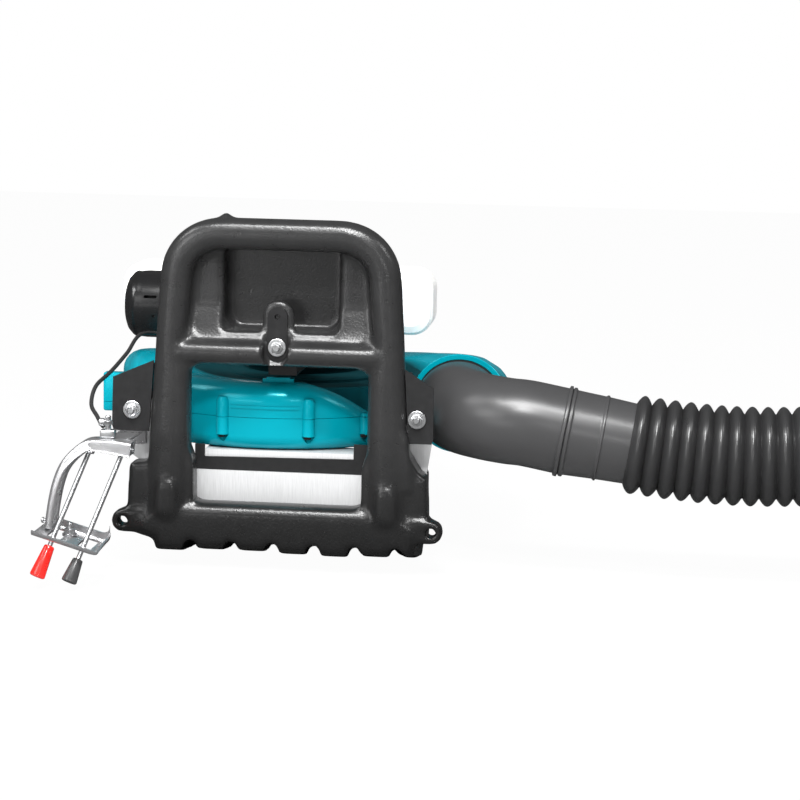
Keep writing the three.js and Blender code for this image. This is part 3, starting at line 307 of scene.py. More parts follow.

# %% [markdown]
# Painted shadow: under the engine the housing's deck is given a dark, dull tone where the
# engine's shadow falls. The distance from the fan's axis gives a mask that is full inside one
# radius and gone outside another, so the rim keeps its own colour.

# %% Painted engine shadow
def painted_engine_shadow_nodes(group, given):
    shift = vector_node(group, "SUBTRACT", given["Vector"], given["Centre"])[0]
    flat = vector_node(group, "MULTIPLY", shift, (1, 1, 0))[0]
    away = vector_node(group, "LENGTH", flat)["Value"]
    span = math_node(group, "SUBTRACT", given["Outer"], given["Inner"])
    raw = math_node(group, "DIVIDE", math_node(group, "SUBTRACT", given["Outer"], away), span)
    return {"Mask": map_range(group, raw, 0.0, 1.0)}


painted_engine_shadow = make_group(
    "painted_engine_shadow", {"Vector": (0, 0, 0), "Centre": (0, 0, 0), "Inner": 0.1, "Outer": 0.2},
    ["Mask"], painted_engine_shadow_nodes)

# %% [markdown]
# Painted shade: near the ground the moulding is darkened, as it is lit less there, and higher up
# it keeps its colour. The tone rises with the height between two levels.

# %% Painted foot shade
def painted_foot_shade_nodes(group, given):
    height = node(group, "ShaderNodeSeparateXYZ", {0: given["Vector"]})["Z"]
    span = math_node(group, "SUBTRACT", given["High"], given["Low"])
    rise = math_node(group, "SUBTRACT", height, given["Low"])
    raw = math_node(group, "DIVIDE", rise, span)
    return {"Tone": map_range(group, raw, given["Darkest"], 1.0)}


painted_foot_shade = make_group(
    "painted_foot_shade", {"Vector": (0, 0, 0), "Low": 0.02, "High": 0.16, "Darkest": 0.4}, ["Tone"],
    painted_foot_shade_nodes)

# %% [markdown]
# ## Finishes
# Every finish starts from Object coordinates, so its pattern stays on the piece when the
# levers or the outlet turn. One helper holds the material together, and each kind of finish
# only says what goes into its shader's sockets.

# %% Finish helpers
def finish(name, build, mirrored=None):
    """A material whose shader's sockets are filled from what build(tree, vector) gives back."""
    material = bpy.data.materials.new(name)
    tree = cleared(material)
    vector = node(tree, "ShaderNodeTexCoord")["Object"]
    shader = node(tree, "ShaderNodeBsdfPrincipled", build(tree, vector))[0]
    if mirrored is not None:
        ray = node(tree, "ShaderNodeLightPath")
        dim = node(tree, "ShaderNodeBsdfDiffuse", {"Color": mirrored})[0]
        shader = mix_shader(tree, ray["Is Glossy Ray"], shader, dim)
    node(tree, "ShaderNodeOutputMaterial", {0: shader})
    return material


def place_group(tree, group, vector, **values):
    inputs = {label.replace("_", " "): value for label, value in values.items()}
    return node(tree, "ShaderNodeGroup", {"Vector": vector, **inputs}, node_tree=group)


def mix_color(tree, factor, first, second, blend_type="MIX"):
    return node(tree, "ShaderNodeMix", {"Factor": factor, 6: first, 7: second},
                data_type="RGBA", blend_type=blend_type)[2]


def toned(tree, color, tone):
    return mix_color(tree, 1.0, color, tone, "MULTIPLY")


def bump(tree, height, distance):
    return node(tree, "ShaderNodeBump", {"Strength": 1.0, "Distance": distance,
                                         "Height": height})[0]


print("finish helpers are ready")

# %% [markdown]
# ## Moulded plastics
# The frame is a charcoal moulding with a visible grain, the housing a bright dyed plastic with
# almost none, and the hose a softer grey. They differ in numbers, not in kind, so one function
# lays grain, wear, a painted shade towards the ground and a painted shadow under the engine over
# a colour.

# %% Plastic finishes
# colour and roughness of the painted shadow under the engine
SHADOW_COLOR, SHADOW_ROUGHNESS = (0.0, 0.012, 0.016, 1), 0.9


def plastic(name, color, rough, patch=25.0, patchiness=0.2, grain=900.0, depth=0.00008,
            coat=0.0, wear=0.0, tint=(1, 1, 1), foot=None, shadow_under_engine=None):
    def build(tree, vector):
        skin = place_group(tree, mould_grain, vector, Patch_Scale=patch, Grain_Scale=grain,
                           Patchiness=patchiness)
        surface = toned(tree, (*color, 1), skin["Tone"])
        gloss = math_node(tree, "MULTIPLY", skin["Gloss Change"], 0.12)
        dull = math_node(tree, "ADD", gloss, rough)
        if wear:
            worn = place_group(tree, edge_wear, vector, Amount=wear)["Mask"]
            paler = (*[min(1.0, c * 2.2 + 0.02) for c in color], 1)
            surface = mix_color(tree, worn, surface, paler)
        # painted shade: the colour darkens towards the ground
        if foot:
            surface = toned(tree, surface, place_group(tree, painted_foot_shade, vector, **foot)["Tone"])
        # painted shadow: a darker, duller surface near the fan's axis, under the engine
        if shadow_under_engine:
            mask = place_group(tree, painted_engine_shadow, vector, **shadow_under_engine)["Mask"]
            surface = mix_color(tree, mask, surface, SHADOW_COLOR)
            dull = node(tree, "ShaderNodeMix", {"Factor": mask, 2: dull, 3: SHADOW_ROUGHNESS},
                        data_type="FLOAT")[0]
        return {"Base Color": surface, "Roughness": dull, "Specular Tint": (*tint, 1),
                "Coat Weight": coat, "Coat Roughness": 0.12,
                "Normal": bump(tree, skin["Height"], depth)}
    return finish(name, build)


# the charcoal frame takes painted shade towards the ground
charcoal = plastic("charcoal_moulding", (0.019, 0.019, 0.0193), 0.29, patch=55, grain=420,
                   depth=0.00022, wear=0.08, foot={"Low": 0.03, "High": 0.17, "Darkest": 0.25})
# the teal carries a painted shadow from the fan's axis out to 140-156 mm
teal = plastic("teal_housing", (0.0, 0.26, 0.33), 0.22, patch=12, patchiness=0.05, grain=1500,
               depth=0.00002, tint=(0.2, 0.9, 1.0),
               shadow_under_engine={"Centre": (mm(FAN_X), 0, 0), "Inner": mm(140), "Outer": mm(156)})
black_sheet = plastic("black_plate", (0.012, 0.012, 0.0124), 0.45, patch=60, patchiness=0.12,
                      grain=1200, depth=0.00004, wear=0.3, tint=(0.35, 0.35, 0.35))
black_part = plastic("black_mouldings", (0.01, 0.01, 0.0104), 0.26, patch=40, patchiness=0.15,
                     grain=800, depth=0.00006, tint=(0.5, 0.5, 0.5))
elbow_plastic = plastic("grey_elbow", (0.042, 0.042, 0.043), 0.33, patch=30, patchiness=0.08,
                        grain=1000, depth=0.00003)
hose_plastic = plastic("grey_hose", (0.022, 0.022, 0.0225), 0.3, patch=30, patchiness=0.08,
                       grain=1000, depth=0.00003)
red = plastic("red_knob", (0.85, 0.015, 0.01), 0.28, patch=60, patchiness=0.06, grain=1500,
              depth=0.00002, coat=0.4)
knob_black = plastic("black_knob", (0.045, 0.045, 0.046), 0.35, patch=60, patchiness=0.1,
                     grain=1500, depth=0.00003, coat=0.2)
rubber = plastic("black_rubber", (0.012, 0.012, 0.012), 0.7, patch=50, grain=700)
print("plastics:", [m.name for m in (charcoal, teal, black_sheet, black_part, elbow_plastic,
                                     hose_plastic, red, knob_black, rubber)])

# %% [markdown]
# The tank is blow-moulded from undyed plastic, which lets light in and spreads it, so it is the
# palest thing on the machine. A little painted glow, an emission though the tank is no lamp, and
# some scatter stand for that. In reflections it is dimmed, or the teal deck beside it would
# mirror it as a white patch.

# %% Tank plastic
def tank_nodes(tree, vector):
    skin = place_group(tree, mould_grain, vector, Patch_Scale=9.0, Grain_Scale=600.0,
                       Patchiness=0.03)
    # painted glow: a faint emission makes the tank paler than the lamps alone would
    return {"Base Color": toned(tree, (0.97, 0.97, 0.965, 1), skin["Tone"]), "Roughness": 0.35,
            "Emission Color": (1, 1, 1, 1), "Emission Strength": 0.12,
            "Subsurface Weight": 0.3, "Subsurface Radius": (0.02, 0.02, 0.018),
            "Normal": bump(tree, skin["Height"], 0.00006)}


tank_plastic = finish("cloudy_tank", tank_nodes, mirrored=(0.06, 0.06, 0.06, 1))
print("tank finish:", tank_plastic.name)

# %% [markdown]
# ## Metals
# Sheet, plated fasteners and rods show the lines of their working. Castings and pressed steel
# are pitted all over instead, so they take the grain that plastics take, on a metal.

# %% Metal finishes
def metal(name, color, stretch, depth=0.2, metallic=1.0, tint=(1, 1, 1)):
    def build(tree, vector):
        lines = place_group(tree, brushed_lines, vector, Stretch=stretch, Depth=depth)
        return {"Base Color": toned(tree, (*color, 1), lines["Tone"]), "Metallic": metallic,
                "Roughness": lines["Roughness"], "Specular Tint": (*tint, 1),
                "Normal": bump(tree, lines["Height"], 0.00002)}
    return finish(name, build)


def cast(name, color, rough, metallic=1.0):
    def build(tree, vector):
        skin = place_group(tree, mould_grain, vector, Patch_Scale=70.0, Grain_Scale=650.0,
                           Patchiness=0.12)
        gloss = math_node(tree, "MULTIPLY", skin["Gloss Change"], 0.2)
        return {"Base Color": toned(tree, (*color, 1), skin["Tone"]), "Metallic": metallic,
                "Roughness": math_node(tree, "ADD", gloss, rough),
                "Normal": bump(tree, skin["Height"], 0.00015)}
    return finish(name, build)


sheet_steel = metal("bright_sheet", (0.68, 0.685, 0.69), (60, 1, 2), 0.5, metallic=0.0,
                    tint=(0.5, 0.5, 0.5))
zinc = metal("zinc_fastener", (0.82, 0.83, 0.84), (8, 8, 8), 0.12)
cast_alloy = cast("cast_alloy", (0.68, 0.69, 0.7), 0.34)
pressed_steel = cast("pressed_steel", (0.46, 0.46, 0.47), 0.3, metallic=0.85)
rod_steel = metal("rod_steel", (0.85, 0.86, 0.87), (8, 8, 8), 0.08)
print("materials:", len(bpy.data.materials))

# %% [markdown]
# ## Mesh helpers
# The finer shapes are made from a handful of moves: a section carried along a path, a
# profile turned about an axis, and a plate cut from an outline. All of them are rows of
# rings with a skin between them.

# %% Pieces from rings
def link(name, mesh, material, body, replaced, smooth):
    """Puts a mesh in the scene as a piece that rides on a body and stands for CAD nodes."""
    piece = linked(name, mesh)
    mesh.materials.clear()
    mesh.materials.append(material)
    for polygon in mesh.polygons:
        polygon.use_smooth = True
    mesh.set_sharp_from_angle(angle=math.radians(smooth))
    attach(piece, body)
    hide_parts(*replaced)
    print(f"{name}: {len(mesh.polygons)} faces for {', '.join(replaced)}")
    return piece


def mesh_from(bm):
    bmesh.ops.recalc_face_normals(bm, faces=bm.faces)
    mesh = bpy.data.meshes.new("form")
    bm.to_mesh(mesh)
    bm.free()
    return mesh


def add_rings(bm, rings):
    made = [[bm.verts.new(p) for p in ring] for ring in rings]
    count = len(rings[0])
    for a, b in zip(made, made[1:]):
        for i in range(count):
            j = (i + 1) % count
            bm.faces.new((a[i], a[j], b[j], b[i]))
    bm.faces.new(list(reversed(made[0])))
    bm.faces.new(made[-1])


def skin_over(rings):
    """A closed mesh over a row of rings."""
    bm = bmesh.new()
    add_rings(bm, rings)
    return mesh_from(bm)


print("ring helpers are ready")

# %% [markdown]
# Modifiers do the heavy work: booleans, shells of one thickness and voxel skins. Each is
# applied at once, so a piece leaves here as a plain mesh.

# %% Modifiers and joins
def modified(mesh, *steps):
    """Applies modifiers, each a type with its settings, and gives back a plain mesh."""
    helper = linked("helper", mesh)
    for kind, settings in steps:
        modifier = helper.modifiers.new(kind.lower(), kind)
        for label, value in settings.items():
            setattr(modifier, label, value)
    made = bpy.data.meshes.new_from_object(
        helper.evaluated_get(bpy.context.evaluated_depsgraph_get()))
    bpy.data.objects.remove(helper)
    return made


def join(base, *forms):
    """Booleans pairs of (operation, mesh) on to a mesh, one after the other."""
    for operation, shape in forms:
        tool = linked("tool", shape)
        settings = {"operation": operation, "solver": "MANIFOLD", "object": tool}
        base = modified(base, ("BOOLEAN", settings))
        bpy.data.objects.remove(tool)
    return base


def united(base, forms):
    return join(base, *[("UNION", shape) for shape in forms])


def cut(base, forms):
    return join(base, *[("DIFFERENCE", shape) for shape in forms])


print("modifier helpers are ready")

# %% [markdown]
# ## Simple forms
# Turned pins, round bosses and rounded blocks are joined to a main form or cut out of it,
# the way a toolmaker adds bosses and cores to a mould.

# %% Simple forms
def circle(centre, side, top, radius, sides):
    turns = (2 * math.pi * k / sides for k in range(sides))
    return [centre + (side * math.cos(t) + top * math.sin(t)) * radius for t in turns]


def turned(origin, axis, profile, sides=64):
    """A closed turned form from (distance along the axis, radius) pairs in millimetres."""
    axis = Vector(axis).normalized()
    side = axis.cross(Vector((0.13, 0.37, 0.91))).normalized()
    top = axis.cross(side)
    return skin_over([circle(origin + axis * mm(along), side, top, max(mm(radius), 1e-5), sides)
                      for along, radius in profile])


def pillar(x, y, profile, sides=24):
    """A round form on a vertical axis, given as (height, radius) pairs."""
    z = profile[0][0]
    return turned(at(x, y, z), UP, [(h - z, r) for h, r in profile], sides)


def boxed(x0, x1, y0, y1, z0, z1, radius=0.0):
    bm = bmesh.new()
    bmesh.ops.create_cube(bm, size=1)
    low, high = at(x0, y0, z0), at(x1, y1, z1)
    for v in bm.verts:
        v.co = Vector([a + (c + 0.5) * (b - a) for a, b, c in zip(low, high, v.co)])
    if radius:
        bmesh.ops.bevel(bm, geom=bm.edges[:], offset=mm(radius), segments=3, profile=0.5,
                        affect="EDGES")
    return mesh_from(bm)


print("a test pin has", len(pillar(0, 0, [(0, 1), (1, 1)]).polygons), "faces")

# %% [markdown]
# Hoses, cables and pressed channels follow a line. A Catmull-Rom line runs through every point
# that it is given, so the points can be read off the object and the line stays smooth.

# %% Lines and pipes
def smooth_path(points, count):
    points = [2 * points[0] - points[1], *points, 2 * points[-1] - points[-2]]
    spans = len(points) - 3
    path = []
    for k in range(count + 1):
        t = k / count * spans
        i = min(int(t), spans - 1)
        f = t - i
        a, b, c, d = points[i:i + 4]
        path.append(0.5 * ((2 * b) + (c - a) * f + (2 * a - 5 * b + 4 * c - d) * f * f
                           + (3 * b - a - 3 * c + d) * f ** 3))
    return path


def tube(points, radii, sides):
    """A solid round bar along a line, with a radius in millimetres for each point."""
    rings = []
    for i, p in enumerate(points):
        along = (points[min(i + 1, len(points) - 1)] - points[max(i - 1, 0)]).normalized()
        side = along.cross(UP).normalized()
        rings.append(circle(p, side, side.cross(along), mm(radii[i]), sides))
    return skin_over(rings)


def pipe(points, radii, wall, sides=72):
    """The same bar as an open pipe: its end caps come off and its wall grows inwards."""
    bm = bmesh.new()
    bm.from_mesh(tube(points, radii, sides))
    bmesh.ops.delete(bm, geom=[f for f in bm.faces if len(f.verts) > 4], context="FACES_ONLY")
    return modified(mesh_from(bm), ("SOLIDIFY", {"thickness": mm(wall), "offset": -1.0}))


def distances(points):
    """How far along the line each point is, in millimetres."""
    total, out = 0.0, [0.0]
    for a, b in zip(points, points[1:]):
        total += (b - a).length
        out.append(total)
    return [d * 1000 for d in out]


print("line helpers are ready")

# %% [markdown]
# ## The blow-moulded frame
# The foot frame and back panel are one hollow moulding of black plastic. Hot plastic bridges
# every corner, so its tubes are nearly round and every join is a soft blend. Its forms are
# laid over each other as closed bodies, then one skin of small voxels is drawn over them all
# and relaxed: that gives the same bridged corners, which edge bevels can't where tubes,
# ramps and ribs meet at odd angles.

# %% Arch of the frame
FRAME_X = -4
LEG_LOW, LEG_HIGH, LEAN_FROM, ARCH_TOP, ARCH_CORNER = 147, 134, 110, 385, 66
WINDOW_HALF, WINDOW_LOW, BAR_LOW, BAR_HIGH = 99, 68, 223, 249
TUBE_Y, TUBE_HALF_DEPTH, TUBE_HALF = 5, 20, 17.5
BEND, BEND_X, SQUARENESS = ARCH_CORNER - 12, 62.5, 2.5


def leg_outer(z):
    lean = min(1, max(0, (z - LEAN_FROM) / (ARCH_TOP - ARCH_CORNER - LEAN_FROM)))
    return LEG_LOW + (LEG_HIGH - LEG_LOW) * lean


def leg_inner(z):
    if z < BAR_LOW - 8:
        return WINDOW_HALF
    t = min(1, (z - BAR_LOW + 8) / 30)
    return WINDOW_HALF + t * 6 - max(0, z - BAR_HIGH) * 0.1


def arch_stations():
    """Centre and half width of the bent tube, from the left foot over the top to the right."""
    half = [((leg_outer(z) + leg_inner(z)) / 2, z, (leg_outer(z) - leg_inner(z)) / 2)
            for z in range(30, 313, 8)]
    for t in (math.radians(90 * k / 12) for k in range(1, 12)):
        half.append((BEND_X + BEND * math.cos(t) ** 0.92,
                     ARCH_TOP - TUBE_HALF - BEND + BEND * math.sin(t) ** 0.92, TUBE_HALF))
    half += [(x, ARCH_TOP - TUBE_HALF, TUBE_HALF) for x in (62, 45, 28, 10)]
    return half + [(-x, z, a) for x, z, a in reversed(half)]


def oval(x, y, z, side, half, half_depth, count=28):
    """A ring between a circle and a square, across one direction and the depth."""
    ring = []
    for k in range(count):
        t = 2 * math.pi * k / count
        c, s = math.cos(t), math.sin(t)
        a = mm(half) * math.copysign(abs(c) ** (2 / SQUARENESS), c)
        b = mm(half_depth) * math.copysign(abs(s) ** (2 / SQUARENESS), s)
        ring.append(at(x + FRAME_X, y, z) + side * a + BACK * b)
    return ring


def make_arch(bm):
    stations = arch_stations()
    rings = []
    for i, (x, z, a) in enumerate(stations):
        before, after = stations[max(i - 1, 0)], stations[min(i + 1, len(stations) - 1)]
        along = Vector((after[0] - before[0], 0, after[1] - before[1])).normalized()
        rings.append(oval(x, TUBE_Y, z, along.cross(BACK), a, TUBE_HALF_DEPTH))
    add_rings(bm, rings)


print("the arch has", len(arch_stations()), "stations")

# %% [markdown]
# Cross bars, webs and posts of the frame are straight, so each is an outline carried along
# one axis.

# %% Bars, plates and posts of the frame
def make_bar(bm, half_length, z, half_height):
    add_rings(bm, [oval(x, TUBE_Y, z, UP, half_height, TUBE_HALF_DEPTH)
                   for x in (-half_length, 0, half_length)])


def make_prism(bm, outline, x0, x1):
    """An outline in Y and Z carried along X."""
    add_rings(bm, [[at(x + FRAME_X, y, z) for y, z in outline] for x in (x0, x1)])


def make_face(bm, outline, y0, y1):
    """An outline in X and Z carried along Y."""
    add_rings(bm, [[at(x + FRAME_X, y, z) for x, z in outline] for y in (y0, y1)])


def arc(x, z, radius, turn=math.pi, count=11):
    """Points of an arc in X and Z, both ends included."""
    turns = [turn * k / (count - 1) for k in range(count)]
    return [(x + radius * math.cos(t), z + radius * math.sin(t)) for t in turns]


def make_post(bm, x, z, radius, y0, y1):
    make_face(bm, arc(x, z, radius, 2 * math.pi, 29)[:-1], y0, y1)


print("a post has", len(arc(0, 0, 1, 2 * math.pi, 29)) - 1, "sides")

# %% [markdown]
# The back panel lies on the ground. Its underside is moulded in lobes, which stiffen the thin
# wall and give it feet, and they spread and drop a little towards the front.

# %% Lobed back panel
LOBE_PITCH, LOBE_FOOT, LOBE_ROOT = 43, 14.5, 16.5
LOBE_DROPS = [-3, 0, 0, -2, -3, -1, 0]
LOBE_RISE, PANEL_HALF, FRONT_DEPTH = 9, 158, 150
PANEL_STATIONS = [(-15, 21, 52, 151), (-9, 16, 60, 157), (25, 8, 60, 158), (85, -2, 60, 157),
                  (145, -5.5, 58, 150), (380, -5.5, 54, 134), (420, -4, 51, 120),
                  (440, 2, 46, 102)]


def panel_ring(y, foot, top, half):
    front = min(1, max(0, (FRONT_DEPTH - y) / FRONT_DEPTH))
    spread = half / PANEL_HALF
    ring = []
    for i, drop in enumerate(LOBE_DROPS):
        middle = (i - 3) * LOBE_PITCH + front * (7.5 + 4 * i)
        low, root = foot + drop * front, foot + LOBE_RISE
        for dx, z in ((-LOBE_ROOT - front, root), (-LOBE_FOOT - front, low),
                      (LOBE_FOOT + front, low), (LOBE_ROOT + front, root)):
            ring.append((min((middle + dx) * spread, half - 1), z))
    ring += [(half, foot + 14), (half, top - 9), (half - 9, top), (9 - half, top),
             (-half, top - 9), (-half, foot + 14)]
    return [at(FRAME_X + x, y, z) for x, z in ring]


print("the panel has", len(LOBE_DROPS), "lobes on", len(PANEL_STATIONS), "stations")

# %% [markdown]
# Under the top grip the moulding falls back into a pocket for the fingers. Its back wall,
# ramps and cheeks are thin plates, which the skin later blends into the arch.

# %% Recess under the grip
RECESS, RECESS_OUT = 65, 112


def make_recess(bm):
    for side in (-1, 1):
        wall = sorted((side * RECESS_OUT, side * RECESS))
        make_prism(bm, [(12, 240), (16, 240), (16, 358), (12, 358)], *wall)
        make_prism(bm, [(-6, 238), (14, 238), (14, 285), (11, 285), (4, 262)], *wall)
        cheek = sorted((side * RECESS, side * (RECESS + 4.5)))
        make_prism(bm, [(12, 240), (47, 256), (47, 358), (12, 358)], *cheek)
    for outline in ([(43, 256), (47.5, 256), (47.5, 362), (43, 362)],
                    [(-6, 238), (16, 238), (47, 255), (47, 260), (4, 260)],
                    [(12, 356), (47, 356), (47, 361), (12, 361)]):
        make_prism(bm, outline, -RECESS, RECESS)
    for side in (-1, 1):
        corner = [(side * RECESS, 260), (side * (RECESS - 11), 260), (side * RECESS, 271)]
        make_face(bm, corner, 14, 45)


print("recess between", FRAME_X - RECESS, "and", FRAME_X + RECESS, "mm")

# %% [markdown]
# The window's corners are filled by the mould, its sides thicken towards the foot, and each
# shoulder carries an ear with a hole and, in front, a raised pad.

# %% Corners, shoulders and ears
FOOT_FILL = 5
EAR_X, EAR_Z, EAR_RADIUS, EAR_HOLE = 173, 44, 13, 5.6
SHOULDER_TOPS = {-1: [(167, 107), (164, 110), (130, 111)],
                 1: [(167, 103), (158, 108), (142, 138), (130, 140)]}
PAD = [(-11, 58), (-6, 52), (6, 52), (11, 58), (11, 86), (6, 92), (-6, 92), (-11, 86)]


def make_corners(bm):
    for side in (-1, 1):
        x = side * WINDOW_HALF
        for z, step in ((WINDOW_LOW, 3), (BAR_LOW, -5)):
            make_face(bm, [(x + side * 8, z - step), (x - side * 12, z - step),
                           (x - side * 12, z), (x, z + step), (x + side * 8, z + step)], -6, 16)
        make_face(bm, [(x + side * 8, 56), (x - side * FOOT_FILL, 56),
                       (x - side * FOOT_FILL, 112), (x, 128), (x + side * 8, 128)], -8, 20)
        x = side * 106
        make_face(bm, [(x + side * 6, 240), (x - side * 14, 240), (x - side * 14, BAR_HIGH),
                       (x, BAR_HIGH + 13), (x + side * 6, BAR_HIGH + 13)], -4, 16)


def make_shoulders(bm):
    for side in (-1, 1):
        outline = [(130, 34), (169, 34), (168.5, 60), *SHOULDER_TOPS[side]]
        make_face(bm, [(side * x, z) for x, z in outline], -9, 25)
        make_post(bm, side * EAR_X, EAR_Z, EAR_RADIUS, -13, 9)
        x0, x1 = sorted((side * 150, side * EAR_X))
        make_face(bm, [(x0, EAR_Z - 13), (x1, EAR_Z - 13), (x1, EAR_Z + 13), (x0, EAR_Z + 13)],
                  -13, 9)
        make_face(bm, [(side * 123 + dx, z) for dx, z in PAD], -19, -8)
    # the right leg's extra web, and the small peg on the grip's left shoulder
    make_face(bm, [(136, 90), (150, 90), (146, 150), (139, 160)], -12, 8)
    make_post(bm, -62, 384, 6, 0, 14)


print("ears at", FRAME_X - EAR_X, "and", FRAME_X + EAR_X, "mm")

# %% [markdown]
# Last comes the skin. The forms are fused by a voxel skin and relaxed, the slot of the centre
# mount and the ears' holes are cut, and a second skin softens the cuts' edges too. The sill
# of the window is a true edge on the moulding, so it is cut after that.

# %% Frame skin
VOXEL = mm(2.6)
SLOT_X, SLOT_Z, SLOT_RADIUS = -3, 277, 14.5


def relaxed(mesh):
    return modified(mesh, ("REMESH", {"mode": "VOXEL", "voxel_size": VOXEL}),
                    ("SMOOTH", {"factor": 0.5, "iterations": 4}))


def make_cutters():
    bm = bmesh.new()
    make_face(bm, [(SLOT_X - 10, 225), (SLOT_X + 10, 225), (SLOT_X + SLOT_RADIUS, 232),
                   *arc(SLOT_X, SLOT_Z, SLOT_RADIUS), (SLOT_X - SLOT_RADIUS, 232)], -22, 4.5)
    make_post(bm, SLOT_X, 243, 4.6, 0, 60)
    for side in (-1, 1):
        make_post(bm, side * EAR_X, EAR_Z, EAR_HOLE, -20, 16)
    return mesh_from(bm)


def make_frame():
    bm = bmesh.new()
    make_arch(bm)
    make_bar(bm, 112, 236, 13.5)
    make_bar(bm, 140, 52, 16)
    add_rings(bm, [panel_ring(*station) for station in PANEL_STATIONS])
    make_recess(bm)
    make_corners(bm)
    make_shoulders(bm)
    make_face(bm, [(SLOT_X - 18, 226), (SLOT_X + 18, 226), *arc(SLOT_X, SLOT_Z, 18)], 6.5, 16)
    bmesh.ops.triangulate(bm, faces=[f for f in bm.faces if len(f.verts) > 4])
    skin = relaxed(cut(relaxed(mesh_from(bm)), [make_cutters()]))
    half = WINDOW_HALF - FOOT_FILL
    sill = boxed(FRAME_X - half, FRAME_X + half, -30, 140, WINDOW_LOW + 1, WINDOW_LOW + 55, 1)
    return cut(skin, [sill])


link("moulded_frame", make_frame(), charcoal, "chassis", ["frame"], 50)

# %% [markdown]
# ## The line of the outlet
# Elbow, hose and cuff are blown or moulded on one line: forward out of the housing, a
# quarter turn to the right, and a slow sag over the length of the hose.

# %% Outlet line
ELBOW_BEND, OUTLET = 84, (187, 120, 170)
HOSE_LINE = [(271, 36, 163.5), (313, 36, 156), (351, 36, 150.5), (396, 36, 143.6),
             (441, 36, 139), (486, 36, 136.2), (531, 36, 136.2), (576, 36, 138),
             (630, 36, 140.6), (700, 36, 144)]
HOSE_START, HOSE_END, CUFF_END = 383.5, 641, 694


def outlet_line():
    x, y, z = OUTLET
    points = [(x, y + 14, z), (x, y + 4, z), (x, y - 8, z)]
    for a in (15, 30, 45, 60, 75):
        t = math.radians(a)
        points.append((x + ELBOW_BEND * (1 - math.cos(t)),
                       y - 8 - (ELBOW_BEND - 8) * math.sin(t), z - 5 * (a / 75) ** 1.5))
    return smooth_path([at(*p) for p in points + HOSE_LINE], 800)


outlet_path = outlet_line()


def path_between(x0, x1):
    return [p for p in outlet_path if mm(x0) <= p.x <= mm(x1)]


print("the outlet's line is", round(distances(outlet_path)[-1]), "mm long")

# %% [markdown]
# ## The ribbed hose
# The hose is a thin corrugated tube: its radius rises and falls along its length by one
# rule. That is a job for Geometry Nodes: a curve is resampled finely, and a circle is carried
# along it at a scale that comes from the length along the curve.

# %% Hose by rule
RING_SIDES, STEPS_PER_RIB = 72, 14.0


def geometry_tree(name, inputs, build):
    """A geometry group with these inputs, whose mesh takes the Material input at the end."""
    tree = bpy.data.node_groups.new(name, "GeometryNodeTree")
    face = tree.interface
    for label, kind, value in (("Geometry", "Geometry", None), *inputs,
                               ("Material", "Material", None)):
        socket = face.new_socket(label, in_out="INPUT", socket_type="NodeSocket" + kind)
        if value is not None:
            socket.default_value = value
    face.new_socket("Geometry", in_out="OUTPUT", socket_type="NodeSocketGeometry")
    given = node(tree, "NodeGroupInput")
    real = node(tree, "GeometryNodeRealizeInstances", {0: build(tree, given)})[0]
    painted = node(tree, "GeometryNodeSetMaterial",
                   {"Geometry": real, "Material": given["Material"]})[0]
    node(tree, "NodeGroupOutput", {0: painted})
    print("geometry group", name, "takes", [row[0] for row in inputs])
    return tree


def hose_nodes(tree, given):
    step = math_node(tree, "DIVIDE", given["Pitch"], STEPS_PER_RIB)
    line = node(tree, "GeometryNodeResampleCurve", {"Curve": given["Geometry"], "Length": step},
                mode="LENGTH")[0]
    along = node(tree, "GeometryNodeSplineParameter")["Length"]
    turns = math_node(tree, "DIVIDE", along, given["Pitch"])
    wave = math_node(tree, "COSINE", math_node(tree, "MULTIPLY", turns, 2 * math.pi))
    raised = math_node(tree, "MULTIPLY", math_node(tree, "SUBTRACT", 1.0, wave), 0.5)
    rounded = math_node(tree, "POWER", raised, given["Flat"])
    lift = math_node(tree, "MULTIPLY", rounded, given["Rib Height"])
    radius = math_node(tree, "ADD", lift, given["Valley Radius"])
    ring = node(tree, "GeometryNodeCurvePrimitiveCircle",
                {"Resolution": RING_SIDES, "Radius": 1.0})[0]
    return node(tree, "GeometryNodeCurveToMesh",
                {"Curve": line, "Profile Curve": ring, "Scale": radius})[0]


ribbed_tube = geometry_tree(
    "ribbed_tube", [("Valley Radius", "Float", 0.0455), ("Rib Height", "Float", 0.0095),
                    ("Pitch", "Float", 0.0179), ("Flat", "Float", 0.42)], hose_nodes)

# %% [markdown]
# The group runs on a line through the hose's middle. The ribs come out as one surface, and a
# shell gives it the thickness of the thin plastic.

# %% Hose
def curve_object(points):
    data = bpy.data.curves.new("line", "CURVE")
    data.dimensions = "3D"
    spline = data.splines.new("POLY")
    spline.points.add(len(points) - 1)
    for point, place in zip(spline.points, points):
        point.co = (*place, 1)
    return linked("line", data)


def by_nodes(carrier, tree, **values):
    """Runs a geometry group on an object and gives back the mesh that it makes."""
    modifier = carrier.modifiers.new("shape", "NODES")
    modifier.node_group = tree
    for item in tree.interface.items_tree:
        if item.item_type == "SOCKET" and item.in_out == "INPUT" and item.name in values:
            modifier[item.identifier] = values[item.name]
    mesh = bpy.data.meshes.new_from_object(
        carrier.evaluated_get(bpy.context.evaluated_depsgraph_get()))
    bpy.data.objects.remove(carrier)
    return mesh


def make_hose():
    line = curve_object(path_between(HOSE_START, HOSE_END))
    mesh = by_nodes(line, ribbed_tube, Material=hose_plastic)
    return modified(mesh, ("SOLIDIFY", {"thickness": mm(2.4), "offset": -1.0}))


link("ribbed_hose", make_hose(), hose_plastic, "outlet", ["hose"], 60)

# %% [markdown]
# ## Outlet elbow and cuff
# The elbow is a smooth moulded pipe with a double bead where its two halves join, and a
# second, thinner line further on. The cuff past the hose has a bead at its root and a rolled
# lip. Each is a section of changing radius carried on the same line.

